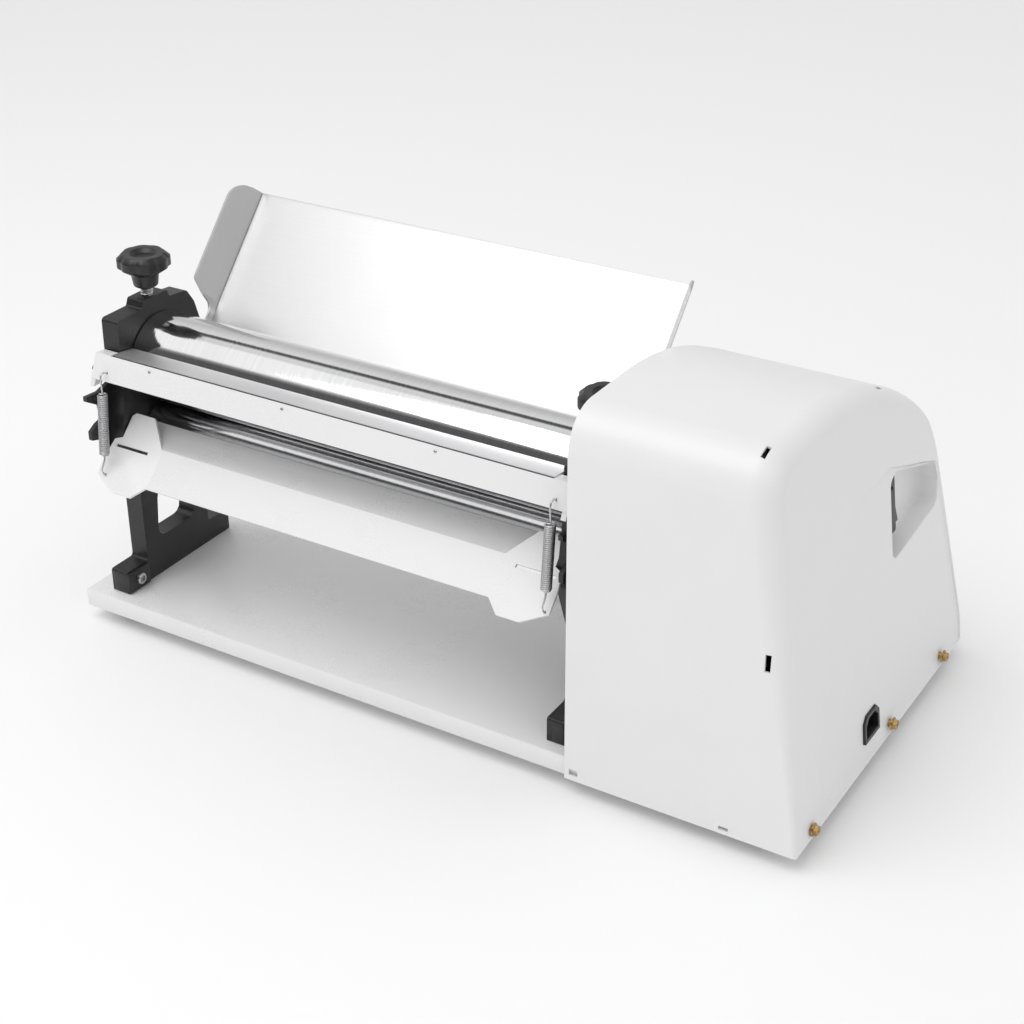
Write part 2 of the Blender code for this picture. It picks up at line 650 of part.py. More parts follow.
def make_lower_scraper():
    """The chute under the sheet of dough: a blade on the lower roller, a sloping front and two ears."""
    away = Vector((-0.68, 0.733)).normalized()
    lip = Vector((ROLLER_AXIS_Y, LOWER_AXIS_Z)) + (ROLLER_RADIUS + SEAT_GAP) * away
    bend = Vector(slope_point(0.0225))
    front = Vector(slope_point(-0.0005))
    under = Vector((1.0, -1.0)).normalized() * CHUTE_THICKNESS
    sheet = [front, front + under, bend + under, lip + Vector((-0.0050, -0.0036)), lip, bend]
    left, right = LEFT_INNER_X + 0.0010, RIGHT_INNER_X - 0.0010
    chute = plate("lower_scraper", [sheet], left, right, white_enamel(), axis=LOWER_PIN)
    ear = [
        (0.0120, -0.0110), (-0.0075, 0.0000), (-0.0075, 0.0150), (-0.0055, 0.0300), (0.0010, 0.0330),
        (0.0010, 0.0510), (0.0040, 0.0540), (0.0220, 0.0540), (0.0420, 0.0300), (0.0420, 0.0010),
        (0.0300, -0.0110),
    ]
    slot = [(-0.0025, 0.0245), (0.0295, 0.0245), (0.0295, 0.0270), (-0.0025, 0.0270)]
    for side, spring_x in spring_places():
        turn = 1 if side == "left" else -1
        start = LEFT_INNER_X if side == "left" else RIGHT_INNER_X
        hook = round_hole(turn * (spring_x - start), 0.0009, SPRING_WIRE + HOOK_CLEARANCE, 12)
        sheets = ((ear, hook), (slot,))
        names = (f"chute_ear_{side}", f"chute_slot_{side}")
        for name, outlines, thick in zip(names, sheets, (1.1 * CHUTE_THICKNESS, 4 * CHUTE_THICKNESS)):
            shapes = [[(turn * x, s) for x, s in outline] for outline in outlines]
            made = add_object(name, flat_mesh(name, shapes, thick), None, True)
            y, z = slope_point(0.0)
            made.location = (start, y + 0.5 * under.x, z + 0.5 * under.y)
            made.rotation_euler = (math.pi / 4, 0, 0)
            boolean(chute, made, "UNION" if outlines[0] is ear else "DIFFERENCE")
        low, high = sorted((start + turn * 0.0015, start + turn * 0.0065))
        knuckle = [(high, KNUCKLE_RADIUS), (low, KNUCKLE_RADIUS)]
        fuse(chute, turned(f"chute_knuckle_{side}", knuckle, (0, *LOWER_PIN), steps=24, cutter=True))
        bore = PIN_RADIUS + SHAFT_CLEARANCE
        hole = [(high + 0.001, bore), (low - 0.001, bore)]
        cut(chute, turned(f"chute_bore_{side}", hole, (0, *LOWER_PIN), steps=16, cutter=True))


def make_scraper_pin(side):
    """The pin in a side frame that the lower scraper turns on."""
    left = side == "left"
    low = LEFT_INNER_X - 0.0100 if left else RIGHT_INNER_X - 0.0075
    high = LEFT_INNER_X + 0.0075 if left else RIGHT_INNER_X + 0.0100
    profile = [(high, PIN_RADIUS), (low, PIN_RADIUS)]
    turned("scraper_pin_" + side, profile, (0, *LOWER_PIN), material=bright_steel(), steps=16)


def make_spring(side, x):
    """The close-wound tension spring between the two scrapers, with a hook at each end."""
    top = Vector((x, UPPER_PIN[0] - 0.0175, UPPER_PIN[1] - 0.0125))
    foot = Vector((x, 0.0020, LOWER_AXIS_Z + 0.0146))
    along = (foot - top).normalized()
    across = Vector((0, -along.z, along.y))
    coil = SPRING_RADIUS - SPRING_WIRE
    turns, per_turn = 15, 8
    hook = [
        Vector((x, UPPER_PIN[0] - 0.0050, UPPER_PIN[1] - 0.0013)),
        Vector((x, UPPER_PIN[0] - 0.0136, UPPER_PIN[1] + 0.0027)),
        Vector((x, UPPER_PIN[0] - 0.0168, UPPER_PIN[1] + 0.0022)),
        Vector((x, UPPER_PIN[0] - 0.0178, UPPER_PIN[1] - 0.0010)),
    ]
    points = hook + [top - 0.002 * along]
    for step in range(turns * per_turn + 1):
        turn = 2 * math.pi * step / per_turn
        reach = coil * min(1.0, step / 4, (turns * per_turn - step) / 4)
        round_point = Vector((reach * math.sin(turn), 0, 0)) + across * reach * math.cos(turn)
        points.append(top + (foot - top) * step / (turns * per_turn) + round_point)
    y, z = slope_point(0.0006)
    points += [
        foot + 0.003 * along,
        Vector((x, y - 0.0030, z + 0.0052)),
        Vector((x, y - 0.0022, z + 0.0022)),
        Vector((x, y + 0.0008, z - 0.0008)),
        Vector((x, y + 0.0034, z - 0.0034)),
    ]
    wire("scraper_spring_" + side, points, SPRING_WIRE, bright_steel(), rings=1)


# ---- Hopper.
def hopper_point(along, up):
    return HOPPER_FOOT + along * HOPPER_ALONG + up * HOPPER_UP


def hopper_outline(corners):
    """Rounded (along, up, radius) corners laid on the hopper's slope as (y, z) points."""
    return [hopper_point(along, up) for along, up in rounded(corners)]


def make_hopper():
    """The polished feed chute behind the rollers, with splayed side walls."""
    left, right = LEFT_INNER_X + 0.0005, RIGHT_INNER_X - 0.0005
    floor = [(0, 0, 0), (HOPPER_LENGTH, 0, 0), (HOPPER_LENGTH, SHEET, 0), (0, SHEET, 0)]
    hopper = plate("hopper", [hopper_outline(floor)], left, right, bright_steel())
    root = 0.2 * SHEET
    end = HOPPER_LENGTH - 0.0002
    high = [
        (0.072, root, 0), (0.084, HOPPER_WALL, 0.003), (end, HOPPER_WALL, 0.016), (end, root, 0),
    ]
    low = [(0.030, 2 * root, 0), (0.032, 0.009, 0.002), (0.076, 0.009, 0.002), (0.078, 2 * root, 0)]
    for side, x, outward in (("left", left, -1), ("right", right - 1.4 * SHEET, 1)):
        wall = plate(f"hopper_wall_{side}", [hopper_outline(high)], x + root, x + 1.2 * SHEET, cutter=True)
        splay = outward * HOPPER_SPLAY / HOPPER_WALL
        shear = Matrix.Identity(4)
        shear[2][0] = splay * HOPPER_UP.x
        shear[2][1] = splay * HOPPER_UP.y
        shear[2][3] = -splay * HOPPER_UP.dot(HOPPER_FOOT)
        wall.data.transform(shear)
        fuse(hopper, wall)
        hole = round_hole(*HOPPER_SCREW, SMALL_SCREW_RADIUS + SHAFT_CLEARANCE, 12)
        lug = [hopper_outline(low), hole]
        fuse(hopper, plate(f"hopper_lug_{side}", lug, x + 0.5 * root, x + SHEET, cutter=True))


def make_hopper_screw(side):
    """The screw that holds one side of the hopper to its frame, with a nut's worth of thread inside."""
    length = FRAME_THICKNESS + 0.0030
    head, head_radius = 0.0035, 0.0045
    profile = [
        (length, SMALL_SCREW_RADIUS), (-SEAT_GAP, SMALL_SCREW_RADIUS), (-SEAT_GAP, head_radius),
        (-head, head_radius),
    ]
    place = (LEFT_FRAME_X, *HOPPER_SCREW) if side == "left" else (RIGHT_OUTER_X, *HOPPER_SCREW)
    turn = ALONG_X if side == "left" else (0.0, -math.pi / 2, 0.0)
    turned("hopper_screw_" + side, profile, place, turn, material=bright_steel(), steps=16)


# ---- Cover.
def cover_corners(inset, bottom):
    """The cover's side view as (y, z, radius) corners: upright front, long falling back."""
    front, back = COVER_FRONT_Y + inset, COVER_BACK_Y - inset
    top = COVER_HEIGHT - inset
    slant = 1.02 * inset
    return [
        (front, bottom, 0.0),
        (front, top, 0.030 - inset),
        (0.130 - 0.2 * inset, top, 0.280 - inset),
        (0.262 - 0.8 * inset, 0.225 - 0.6 * slant, 0.110 - inset),
        (back, 0.020, 0.025),
        (back, bottom, 0.0),
    ]


def cover_face(z):
    """The place of the cover's leaning right face at a height."""
    return COVER_RIGHT_X - COVER_LEAN * z


def cover_block(name, inset, left, bottom):
    """The cover's full shape as a loft along X whose right rim is rounded, more tightly low down."""
    points = rounded(cover_corners(inset, bottom), 7)
    count = len(points)
    inward = []
    for index, point in enumerate(points):
        chord = points[(index + 1) % count] - points[index - 1]
        normal = Vector((chord.y, -chord.x)).normalized()
        if index == 0:
            normal = Vector((1.0, 0.0))
        if index == count - 1:
            normal = Vector((-1.0, 0.0))
        inward.append(normal)
    shape = bmesh.new()
    rings = [[shape.verts.new((left, y, z)) for y, z in points]]
    for step in range(6):
        turn = math.pi / 2 * step / 5
        ring = []
        for point, normal in zip(points, inward):
            share = min(1.0, max(0.0, point.y / 0.2))
            radius = max(0.0008, COVER_RIM_BASE + (COVER_RIM_TOP - COVER_RIM_BASE) * share**1.5 - inset)
            y, z = point + normal * radius * (1 - math.cos(turn))
            x = cover_face(z) - 1.01 * inset - radius * (1 - math.sin(turn))
            ring.append(shape.verts.new((x, y, z)))
        rings.append(ring)
    for first, second in zip(rings, rings[1:]):
        for index in range(count):
            after = (index + 1) % count
            shape.faces.new((first[index], first[after], second[after], second[index]))
    shape.faces.new(rings[0][::-1])
    shape.faces.new(rings[-1])
    bmesh.ops.recalc_face_normals(shape, faces=shape.faces)
    mesh = bpy.data.meshes.new(name)
    shape.to_mesh(mesh)
    shape.free()
    return mesh


def pocket_outline(grow):
    """The switch recess in the right face, grown about its middle."""
    corners = [
        (0.181, 0.136), (0.181, 0.1915), (0.191, 0.196), (0.2655, 0.171), (0.273, 0.160), (0.268, 0.138),
        (0.186, 0.131),
    ]
    middle = Vector((0.227, 0.1625))
    grown = [middle + grow * (Vector(corner) - middle) for corner in corners]
    return rounded([(corner.x, corner.y, 0.003) for corner in grown])


def cover_screw_places():
    return (0.0240, 0.1670, 0.2710)


def make_cover():
    """The moulded hood over the drive: open below and on its left, with a switch recess and clip slots."""
    outer_mesh = cover_block("cover_shell", 0.0, COVER_LEFT_X, 0.0)
    shell = add_object("cover_shell", outer_mesh, white_plastic(), False)
    hollow_mesh = cover_block("cover_hollow", COVER_WALL, COVER_LEFT_X - 0.010, -0.010)
    cut(shell, add_object("cover_hollow", hollow_mesh, None, True))
    outside = COVER_RIGHT_X - 0.5 * COVER_WALL
    floor = outside - POCKET_DEPTH
    fuse(shell, leaned_plate("pocket_wall", [pocket_outline(1.06)], floor - 0.002, outside, cutter=True))
    cut(shell, leaned_plate("pocket_hole", [pocket_outline(1.0)], floor, outside + 0.010, cutter=True))
    ends = (COVER_RIGHT_X - 0.020, COVER_RIGHT_X + 0.010)
    cut(shell, leaned_plate("inlet_hole", [inlet_outline(SEAT_GAP)], *ends, cutter=True))
    for index, y in enumerate(cover_screw_places()):
        place = (cover_face(COVER_SCREW_Z), y, COVER_SCREW_Z)
        cut(shell, screw_hole(f"cover_screw_hole_{index}", place, 0.012))
    slots = (
        ((0.5910, -0.0200, 0.1380), (0.5950, 0.0080, 0.1510)),
        ((0.5656, -0.0200, 0.0030), (0.5730, -0.0001, 0.0060)),
        ((0.4500, -0.0200, 0.0040), (0.4570, -0.0001, 0.0090)),
    )
    for index, (low, high) in enumerate(slots):
        cut(shell, block(f"clip_slot_{index}", low, high, cutter=True))


def make_side_panel():
    """The sheet that closes the cover's left side, pierced for the two journals."""
    edge = rounded(cover_corners(COVER_WALL + RUNNING_GAP, FRAME_BOTTOM))
    room = JOURNAL_RADIUS + 0.0010
    lower = round_hole(ROLLER_AXIS_Y, LOWER_AXIS_Z, room, 32)
    slot_low, slot_high = UPPER_AXIS_Z - room, UPPER_AXIS_Z + LIFT_TRAVEL + room
    front, back = ROLLER_AXIS_Y - room, ROLLER_AXIS_Y + room
    reach = 0.98 * room
    corners = ((front, slot_low), (back, slot_low), (back, slot_high), (front, slot_high))
    slot = [(*corner, reach) for corner in corners]
    high = SIDE_PANEL_X + SIDE_PANEL_THICKNESS
    plate("side_panel", [edge, lower, rounded(slot)], SIDE_PANEL_X, high, aluminium())


def make_cover_screws():
    """Three brass-coloured screws through the cover into the base plate's edge."""
    names = ("front", "middle", "rear")
    start = cover_face(0.0) + SEAT_GAP
    for name, y in zip(names, cover_screw_places()):
        profile = [
            (start + 0.0040, 0.7 * COVER_SCREW_HEAD), (start + 0.0028, COVER_SCREW_HEAD),
            (start, COVER_SCREW_HEAD), (start, COVER_SCREW_RADIUS), (BASE_LENGTH - 0.0120, COVER_SCREW_RADIUS),
        ]
        turned("cover_screw_" + name, profile, (0, y, COVER_SCREW_Z), material=bronze(), steps=20)


# ---- Drive: pulleys, belt and motor.
def make_pulley(name, radius, bore, y, z, flange):
    """A flanged flat-belt pulley."""
    low, high = PULLEY_X, PULLEY_X + PULLEY_WIDTH
    rim = 0.0020
    outer = [
        (high, radius + flange), (high - rim, radius + flange), (high - rim, radius),
        (low + rim, radius), (low + rim, radius + flange), (low, radius + flange),
    ]
    inner = [(low, bore), (high, bore)]
    turned(name, outer, (0, y, z), inner=inner, material=aluminium(), steps=40)


def belt_loop(grow):
    """The belt's path round both pulleys, grown outwards."""
    big = Vector((ROLLER_AXIS_Y, LOWER_AXIS_Z))
    small = Vector((MOTOR_AXIS_Y, MOTOR_AXIS_Z))
    big_reach, small_reach = BIG_PULLEY_RADIUS + grow, SMALL_PULLEY_RADIUS + grow
    line = small - big
    heading = math.atan2(line.y, line.x)
    lean = math.acos((BIG_PULLEY_RADIUS - SMALL_PULLEY_RADIUS) / line.length)
    points = []
    for step in range(33):
        turn = heading + lean + (2 * math.pi - 2 * lean) * step / 32
        points.append(big + big_reach * Vector((math.cos(turn), math.sin(turn))))
    for step in range(13):
        turn = heading - lean + 2 * lean * step / 12
        points.append(small + small_reach * Vector((math.cos(turn), math.sin(turn))))
    return points


def make_belt():
    """The drive belt between the motor and the lower roller."""
    low = PULLEY_X + (PULLEY_WIDTH - BELT_WIDTH) / 2
    loops = [belt_loop(RUNNING_GAP + BELT_THICKNESS), belt_loop(RUNNING_GAP)]
    plate("drive_belt", loops, low, low + BELT_WIDTH, rubber())


def make_motor():
    """The geared motor lying on its cradle, and its shaft."""
    place = (0, MOTOR_AXIS_Y, MOTOR_AXIS_Z)
    low, high = MOTOR_X, MOTOR_X + MOTOR_LENGTH
    bore = MOTOR_SHAFT_RADIUS + SHAFT_CLEARANCE
    outer = [
        (high, 0.8 * MOTOR_RADIUS), (high - 0.006, MOTOR_RADIUS), (low + 0.006, MOTOR_RADIUS),
        (low, 0.8 * MOTOR_RADIUS),
    ]
    motor = turned("motor_body", outer, place, material=aluminium(), steps=40)
    blind = [(low + 0.0203, bore), (low - 0.001, bore)]
    cut(motor, turned("motor_bore", blind, place, steps=24, cutter=True))
    shaft = [(low + 0.020, MOTOR_SHAFT_RADIUS), (PULLEY_X - 0.001, MOTOR_SHAFT_RADIUS)]
    turned("motor_shaft", shaft, place, material=bright_steel(), steps=24)
    front, back = MOTOR_AXIS_Y - 0.038, MOTOR_AXIS_Y + 0.038
    cradle_top = MOTOR_AXIS_Z - 0.40 * MOTOR_RADIUS
    edge = [(front, FRAME_BOTTOM), (back, FRAME_BOTTOM), (back, cradle_top), (front, cradle_top)]
    cradle = plate("motor_cradle", [edge], low + 0.012, high - 0.012, black_casting())
    seat = [(high + 0.01, MOTOR_RADIUS + SEAT_GAP), (low - 0.01, MOTOR_RADIUS + SEAT_GAP)]
    cut(cradle, turned("cradle_seat", seat, place, steps=40, cutter=True))


# ---- Switch and mains inlet.
def inlet_outline(grow):
    """The chamfered outline of the mains inlet."""
    front, back = INLET_Y - INLET_WIDTH / 2 - grow, INLET_Y + INLET_WIDTH / 2 + grow
    low, high = INLET_BOTTOM - grow, INLET_TOP + grow
    chamfer = 0.0050
    return [
        (front, low), (back, low), (back, high - chamfer), (back - chamfer, high),
        (front + chamfer, high), (front, high - chamfer),
    ]


def make_inlet():
    """The recessed three-pin mains inlet in the cover's right face."""
    outside = COVER_RIGHT_X + 0.0008
    socket = leaned_plate("inlet_socket", [inlet_outline(0.0)], outside - 0.0180, outside, black_plastic())
    cavity = [inlet_outline(-0.0030)]
    cut(socket, leaned_plate("inlet_cavity", cavity, outside - 0.0140, outside + 0.005, cutter=True))
    middle = (INLET_BOTTOM + INLET_TOP) / 2
    for index, (y, z) in enumerate(((-0.006, -0.003), (0.0, 0.003), (0.006, -0.003))):
        front, back = INLET_Y + y - 0.001, INLET_Y + y + 0.001
        low, high = middle + z - 0.0025, middle + z + 0.0025
        pin = [(front, low), (back, low), (back, high), (front, high)]
        ends = (outside - 0.0160, outside - 0.0060)
        fuse(socket, leaned_plate(f"inlet_pin_{index}", [pin], *ends, cutter=True))


def make_switch():
    """The switch in the recess: a black housing and a rocker that tips on a level axis."""
    floor = COVER_RIGHT_X - 0.5 * COVER_WALL - POCKET_DEPTH + SEAT_GAP
    corners = ((0.1850, 0.1400), (0.2100, 0.1400), (0.2100, 0.1840), (0.1850, 0.1840))
    edge = rounded([(*corner, 0.002) for corner in corners])
    body = leaned_plate("switch_body", [edge], floor, floor + 0.0080, black_plastic())
    well = [(0.1890, 0.1480), (0.2060, 0.1480), (0.2060, 0.1760), (0.1890, 0.1760)]
    cut(body, leaned_plate("switch_well", [well], floor + 0.0030, floor + 0.0200, cutter=True))
    pivot = Vector((floor + 0.0082 - COVER_LEAN * 0.1620, 0.1975, 0.1620))
    half = Vector((0.0016, 0.0080, 0.0120))
    rocker = block("switch_rocker", pivot - half, pivot + half, black_plastic(), 0.0006)
    rocker.rotation_euler = (0, math.radians(-15), 0)


# ---- Assembly.
def settle_origin():
    """Moves the bench frame so that the object stands on the floor, centred on the world's origin."""
    bpy.context.view_layer.update()
    graph = bpy.context.evaluated_depsgraph_get()
    low, high = Vector((9, 9, 9)), Vector((-9, -9, -9))
    for item in parts.objects:
        if item.type == "EMPTY":
            continue
        evaluated = item.evaluated_get(graph)
        for vertex in evaluated.to_mesh().vertices:
            place = evaluated.matrix_world @ vertex.co
            low = Vector(map(min, low, place))
            high = Vector(map(max, high, place))
        evaluated.to_mesh_clear()
    origin.location = (-(low.x + high.x) / 2, -(low.y + high.y) / 2, -low.z)


def main():
    global parts, cutters, origin
    clear_scene()
    parts = new_collection("dough_sheeter")
    cutters = new_collection("cutters")
    cutters.hide_render = True
    origin = bpy.data.objects.new("bench_origin", None)
    parts.objects.link(origin)
    make_base()
    make_feet()
    make_rollers()
    make_long_gears()
    for side, inner in (("left", LEFT_FRAME_X), ("right", RIGHT_INNER_X)):
        make_side_frame(side)
        make_bush("lower_bush_" + side, inner, LOWER_AXIS_Z)
        make_bush("upper_bush_" + side, inner, UPPER_AXIS_Z)
        make_bearing_block(side)
        make_scraper_arm(side)
        make_adjusting_screw(side)
        make_knob(side)
        make_scraper_pin(side)
        make_hopper_screw(side)
    for side, x in spring_places():
        make_spring(side, x)
    make_upper_scraper()
    make_lower_scraper()
    make_hopper()
    make_cover()
    make_side_panel()
    make_cover_screws()
    big_bore = JOURNAL_RADIUS + SEAT_GAP
    small_bore = MOTOR_SHAFT_RADIUS + SEAT_GAP
    make_pulley("roller_pulley", BIG_PULLEY_RADIUS, big_bore, ROLLER_AXIS_Y, LOWER_AXIS_Z, PULLEY_FLANGE)
    make_pulley("motor_pulley", SMALL_PULLEY_RADIUS, small_bore, MOTOR_AXIS_Y, MOTOR_AXIS_Z, PULLEY_FLANGE)
    make_belt()
    make_motor()
    make_inlet()
    make_switch()
    settle_origin()


main()
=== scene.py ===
"""The looks of a table-top dough sheeter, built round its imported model. Metres, +Z up, rollers along X."""

import math

import bmesh
import bpy
import numpy as np
from mathutils import Matrix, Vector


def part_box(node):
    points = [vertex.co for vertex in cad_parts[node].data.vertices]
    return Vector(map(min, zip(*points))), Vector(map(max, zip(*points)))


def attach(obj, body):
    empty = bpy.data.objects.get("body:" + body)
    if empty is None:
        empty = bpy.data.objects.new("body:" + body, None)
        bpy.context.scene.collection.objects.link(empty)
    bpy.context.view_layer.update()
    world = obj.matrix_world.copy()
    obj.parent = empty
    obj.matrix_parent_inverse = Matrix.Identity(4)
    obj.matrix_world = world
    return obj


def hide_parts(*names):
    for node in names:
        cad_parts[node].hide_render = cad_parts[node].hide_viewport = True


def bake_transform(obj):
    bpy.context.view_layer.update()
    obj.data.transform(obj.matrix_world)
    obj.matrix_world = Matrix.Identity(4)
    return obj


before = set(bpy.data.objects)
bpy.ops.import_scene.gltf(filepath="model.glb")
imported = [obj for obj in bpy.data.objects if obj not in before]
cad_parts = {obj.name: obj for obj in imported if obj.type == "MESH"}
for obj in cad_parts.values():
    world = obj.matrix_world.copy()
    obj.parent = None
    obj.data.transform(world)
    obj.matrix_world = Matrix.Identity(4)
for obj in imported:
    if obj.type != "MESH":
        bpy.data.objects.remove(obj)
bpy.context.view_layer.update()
corner = np.array(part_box("base_plate")[0])


# ---- Camera, floor and light.
# A three-quarter view from the drive end, a little above the rollers. The floor is pale card, one large
# soft lamp hangs over the front left, and the room is even. Polished metal sees the room in strips that
# run along the rollers.
def aim_camera():
    """The camera stands back from its target along a direction given by azimuth and elevation, then rolls."""
    azimuth, elevation, roll = np.radians([31.407, 28.751, -0.275])
    back = np.array([
        math.sin(azimuth) * math.cos(elevation),
        -math.cos(azimuth) * math.cos(elevation),
        math.sin(elevation),
    ])
    right = np.array([math.cos(azimuth), math.sin(azimuth), 0.0])
    up = np.cross(back, right)
    turned_right = math.cos(roll) * right + math.sin(roll) * up
    turned_up = -math.sin(roll) * right + math.cos(roll) * up
    lens = bpy.data.cameras.new("studio_camera")
    lens.lens = 66.925
    lens.sensor_width = 36.0
    lens.clip_end = 30.0
    camera = bpy.data.objects.new("studio_camera", lens)
    bpy.context.scene.collection.objects.link(camera)
    place = corner + np.array([0.97976, -0.94489, 0.80650])
    matrix = np.eye(4)
    matrix[:3, 0] = turned_right
    matrix[:3, 1] = turned_up
    matrix[:3, 2] = back
    matrix[:3, 3] = place
    camera.matrix_world = Matrix(matrix.tolist())
    bpy.context.scene.camera = camera


def soft_lamp(name, place, target, size, power):
    """A square area lamp at a place, facing a target."""
    lamp = bpy.data.lights.new(name, "AREA")
    lamp.size = size
    lamp.energy = power
    lamp.color = (1.0, 1.0, 1.0)
    made = bpy.data.objects.new(name, lamp)
    bpy.context.scene.collection.objects.link(made)
    toward = np.array(target) - np.array(place)
    toward = toward / np.linalg.norm(toward)
    side = np.cross(toward, [0.0, 0.0, 1.0])
    side = side / np.linalg.norm(side)
    matrix = np.eye(4)
    matrix[:3, 0] = side
    matrix[:3, 1] = np.cross(side, toward)
    matrix[:3, 2] = -toward
    matrix[:3, 3] = place
    made.matrix_world = Matrix(matrix.tolist())


def light_the_room():
    """Matt surfaces get even light; shiny ones see a tone set by the angle about the rollers' axis."""
    world = bpy.data.worlds.new("studio_room")
    bpy.context.scene.world = world
    world.use_nodes = True
    tree = world.node_tree
    link = tree.links.new
    even = tree.nodes["Background"]
    even.inputs["Color"].default_value = (1.0, 1.0, 1.0, 1.0)
    even.inputs["Strength"].default_value = 0.80
    strips = tree.nodes.new("ShaderNodeBackground")
    strips.inputs["Strength"].default_value = 1.0
    coordinate = tree.nodes.new("ShaderNodeTexCoord")
    split = tree.nodes.new("ShaderNodeSeparateXYZ")
    forward = tree.nodes.new("ShaderNodeMath")
    forward.operation = "MULTIPLY"
    forward.inputs[1].default_value = -1.0
    angle = tree.nodes.new("ShaderNodeMath")
    angle.operation = "ARCTAN2"
    share = tree.nodes.new("ShaderNodeMath")
    share.operation = "DIVIDE"
    share.inputs[1].default_value = math.pi
    ramp = tree.nodes.new("ShaderNodeValToRGB")
    bands = (
        (0, 0.20), (6, 0.09), (40, 0.10), (46, 0.30), (51, 1.00), (92, 1.00), (97, 0.72), (108, 0.78),
        (112, 0.10), (119, 0.08), (122, 0.80), (134, 0.70), (150, 0.55), (180, 0.70),
    )
    ramp.color_ramp.elements[0].position = 0.0
    ramp.color_ramp.elements[1].position = 1.0
    for degrees, _ in bands[1:-1]:
        ramp.color_ramp.elements.new(degrees / 180)
    for element, (_, tone) in zip(ramp.color_ramp.elements, bands):
        element.color = (tone, tone, tone, 1.0)
    ray = tree.nodes.new("ShaderNodeLightPath")
    choice = tree.nodes.new("ShaderNodeMixShader")
    link(coordinate.outputs["Generated"], split.inputs["Vector"])
    link(split.outputs["Y"], forward.inputs[0])
    link(split.outputs["Z"], angle.inputs[0])
    link(forward.outputs["Value"], angle.inputs[1])
    link(angle.outputs["Value"], share.inputs[0])
    link(share.outputs["Value"], ramp.inputs["Fac"])
    link(ramp.outputs["Color"], strips.inputs["Color"])
    link(ray.outputs["Is Glossy Ray"], choice.inputs["Fac"])
    link(even.outputs["Background"], choice.inputs[1])
    link(strips.outputs["Background"], choice.inputs[2])
    link(choice.outputs["Shader"], tree.nodes["World Output"].inputs["Surface"])


def lay_floor():
    """A square of pale card, far larger than the object."""
    card = bpy.data.materials.new("floor_card")
    card.use_nodes = True
    shader = card.node_tree.nodes["Principled BSDF"]
    shader.inputs["Base Color"].default_value = (0.94, 0.94, 0.94, 1.0)
    shader.inputs["Roughness"].default_value = 0.9
    mesh = bpy.data.meshes.new("floor")
    reach = 6.0
    edge = [(-reach, -reach, 0), (reach, -reach, 0), (reach, reach, 0), (-reach, reach, 0)]
    mesh.from_pydata(edge, [], [(0, 1, 2, 3)])
    mesh.materials.append(card)
    floor = bpy.data.objects.new("floor", mesh)
    floor.location.z = -0.0002
    bpy.context.scene.collection.objects.link(floor)


aim_camera()
light_the_room()
lay_floor()
soft_lamp("key_lamp", (-0.45, -0.90, 2.10), (0.0, 0.0, 0.1), 1.6, 17.0)
bpy.context.scene.view_settings.view_transform = "Standard"


# ---- Base plate.
# A thick steel plate with white stove enamel, flat all over, its edges just broken. Everything stands on it.
def grained(
    name, light, dark, roughness, metallic=0.0, grain=(900, 900, 900), bump=0.02, cloud=18.0, coat=0.0,
):
    """Tone and roughness mix two noises, a broad cloud and a fine grain; the grain also lifts the surface."""
    made = bpy.data.materials.new(name)
    made.use_nodes = True
    tree = made.node_tree
    shader = tree.nodes["Principled BSDF"]
    shader.inputs["Metallic"].default_value = metallic
    shader.inputs["Coat Weight"].default_value = coat
    shader.inputs["Coat Roughness"].default_value = 0.12
    coordinate = tree.nodes.new("ShaderNodeTexCoord")
    stretch = tree.nodes.new("ShaderNodeMapping")
    stretch.inputs["Scale"].default_value = grain
    fine = tree.nodes.new("ShaderNodeTexNoise")
    fine.inputs["Scale"].default_value = 1.0
    fine.inputs["Detail"].default_value = 3.0
    broad = tree.nodes.new("ShaderNodeTexNoise")
    broad.inputs["Scale"].default_value = cloud
    broad.inputs["Detail"].default_value = 4.0
    blend = tree.nodes.new("ShaderNodeMath")
    blend.operation = "MULTIPLY_ADD"
    blend.inputs[1].default_value = 0.35
    half = tree.nodes.new("ShaderNodeMath")
    half.operation = "MULTIPLY"
    half.inputs[1].default_value = 0.65
    tones = tree.nodes.new("ShaderNodeValToRGB")
    tones.color_ramp.elements[0].position = 0.36
    tones.color_ramp.elements[0].color = (*dark, 1.0)
    tones.color_ramp.elements[1].position = 0.64
    tones.color_ramp.elements[1].color = (*light, 1.0)
    rough = tree.nodes.new("ShaderNodeMapRange")
    rough.inputs["From Min"].default_value = 0.3
    rough.inputs["From Max"].default_value = 0.7
    rough.inputs["To Min"].default_value = roughness[0]
    rough.inputs["To Max"].default_value = roughness[1]
    lift = tree.nodes.new("ShaderNodeBump")
    lift.inputs["Strength"].default_value = bump
    lift.inputs["Distance"].default_value = 0.0005
    link = tree.links.new
    link(coordinate.outputs["Object"], stretch.inputs["Vector"])
    link(stretch.outputs["Vector"], fine.inputs["Vector"])
    link(coordinate.outputs["Object"], broad.inputs["Vector"])
    link(fine.outputs["Fac"], blend.inputs[0])
    link(broad.outputs["Fac"], half.inputs[0])
    link(half.outputs["Value"], blend.inputs[2])
    link(blend.outputs["Value"], tones.inputs["Fac"])
    link(blend.outputs["Value"], rough.inputs["Value"])
    link(tones.outputs["Color"], shader.inputs["Base Color"])
    link(rough.outputs["Result"], shader.inputs["Roughness"])
    link(fine.outputs["Fac"], lift.inputs["Height"])
    link(lift.outputs["Normal"], shader.inputs["Normal"])
    return made


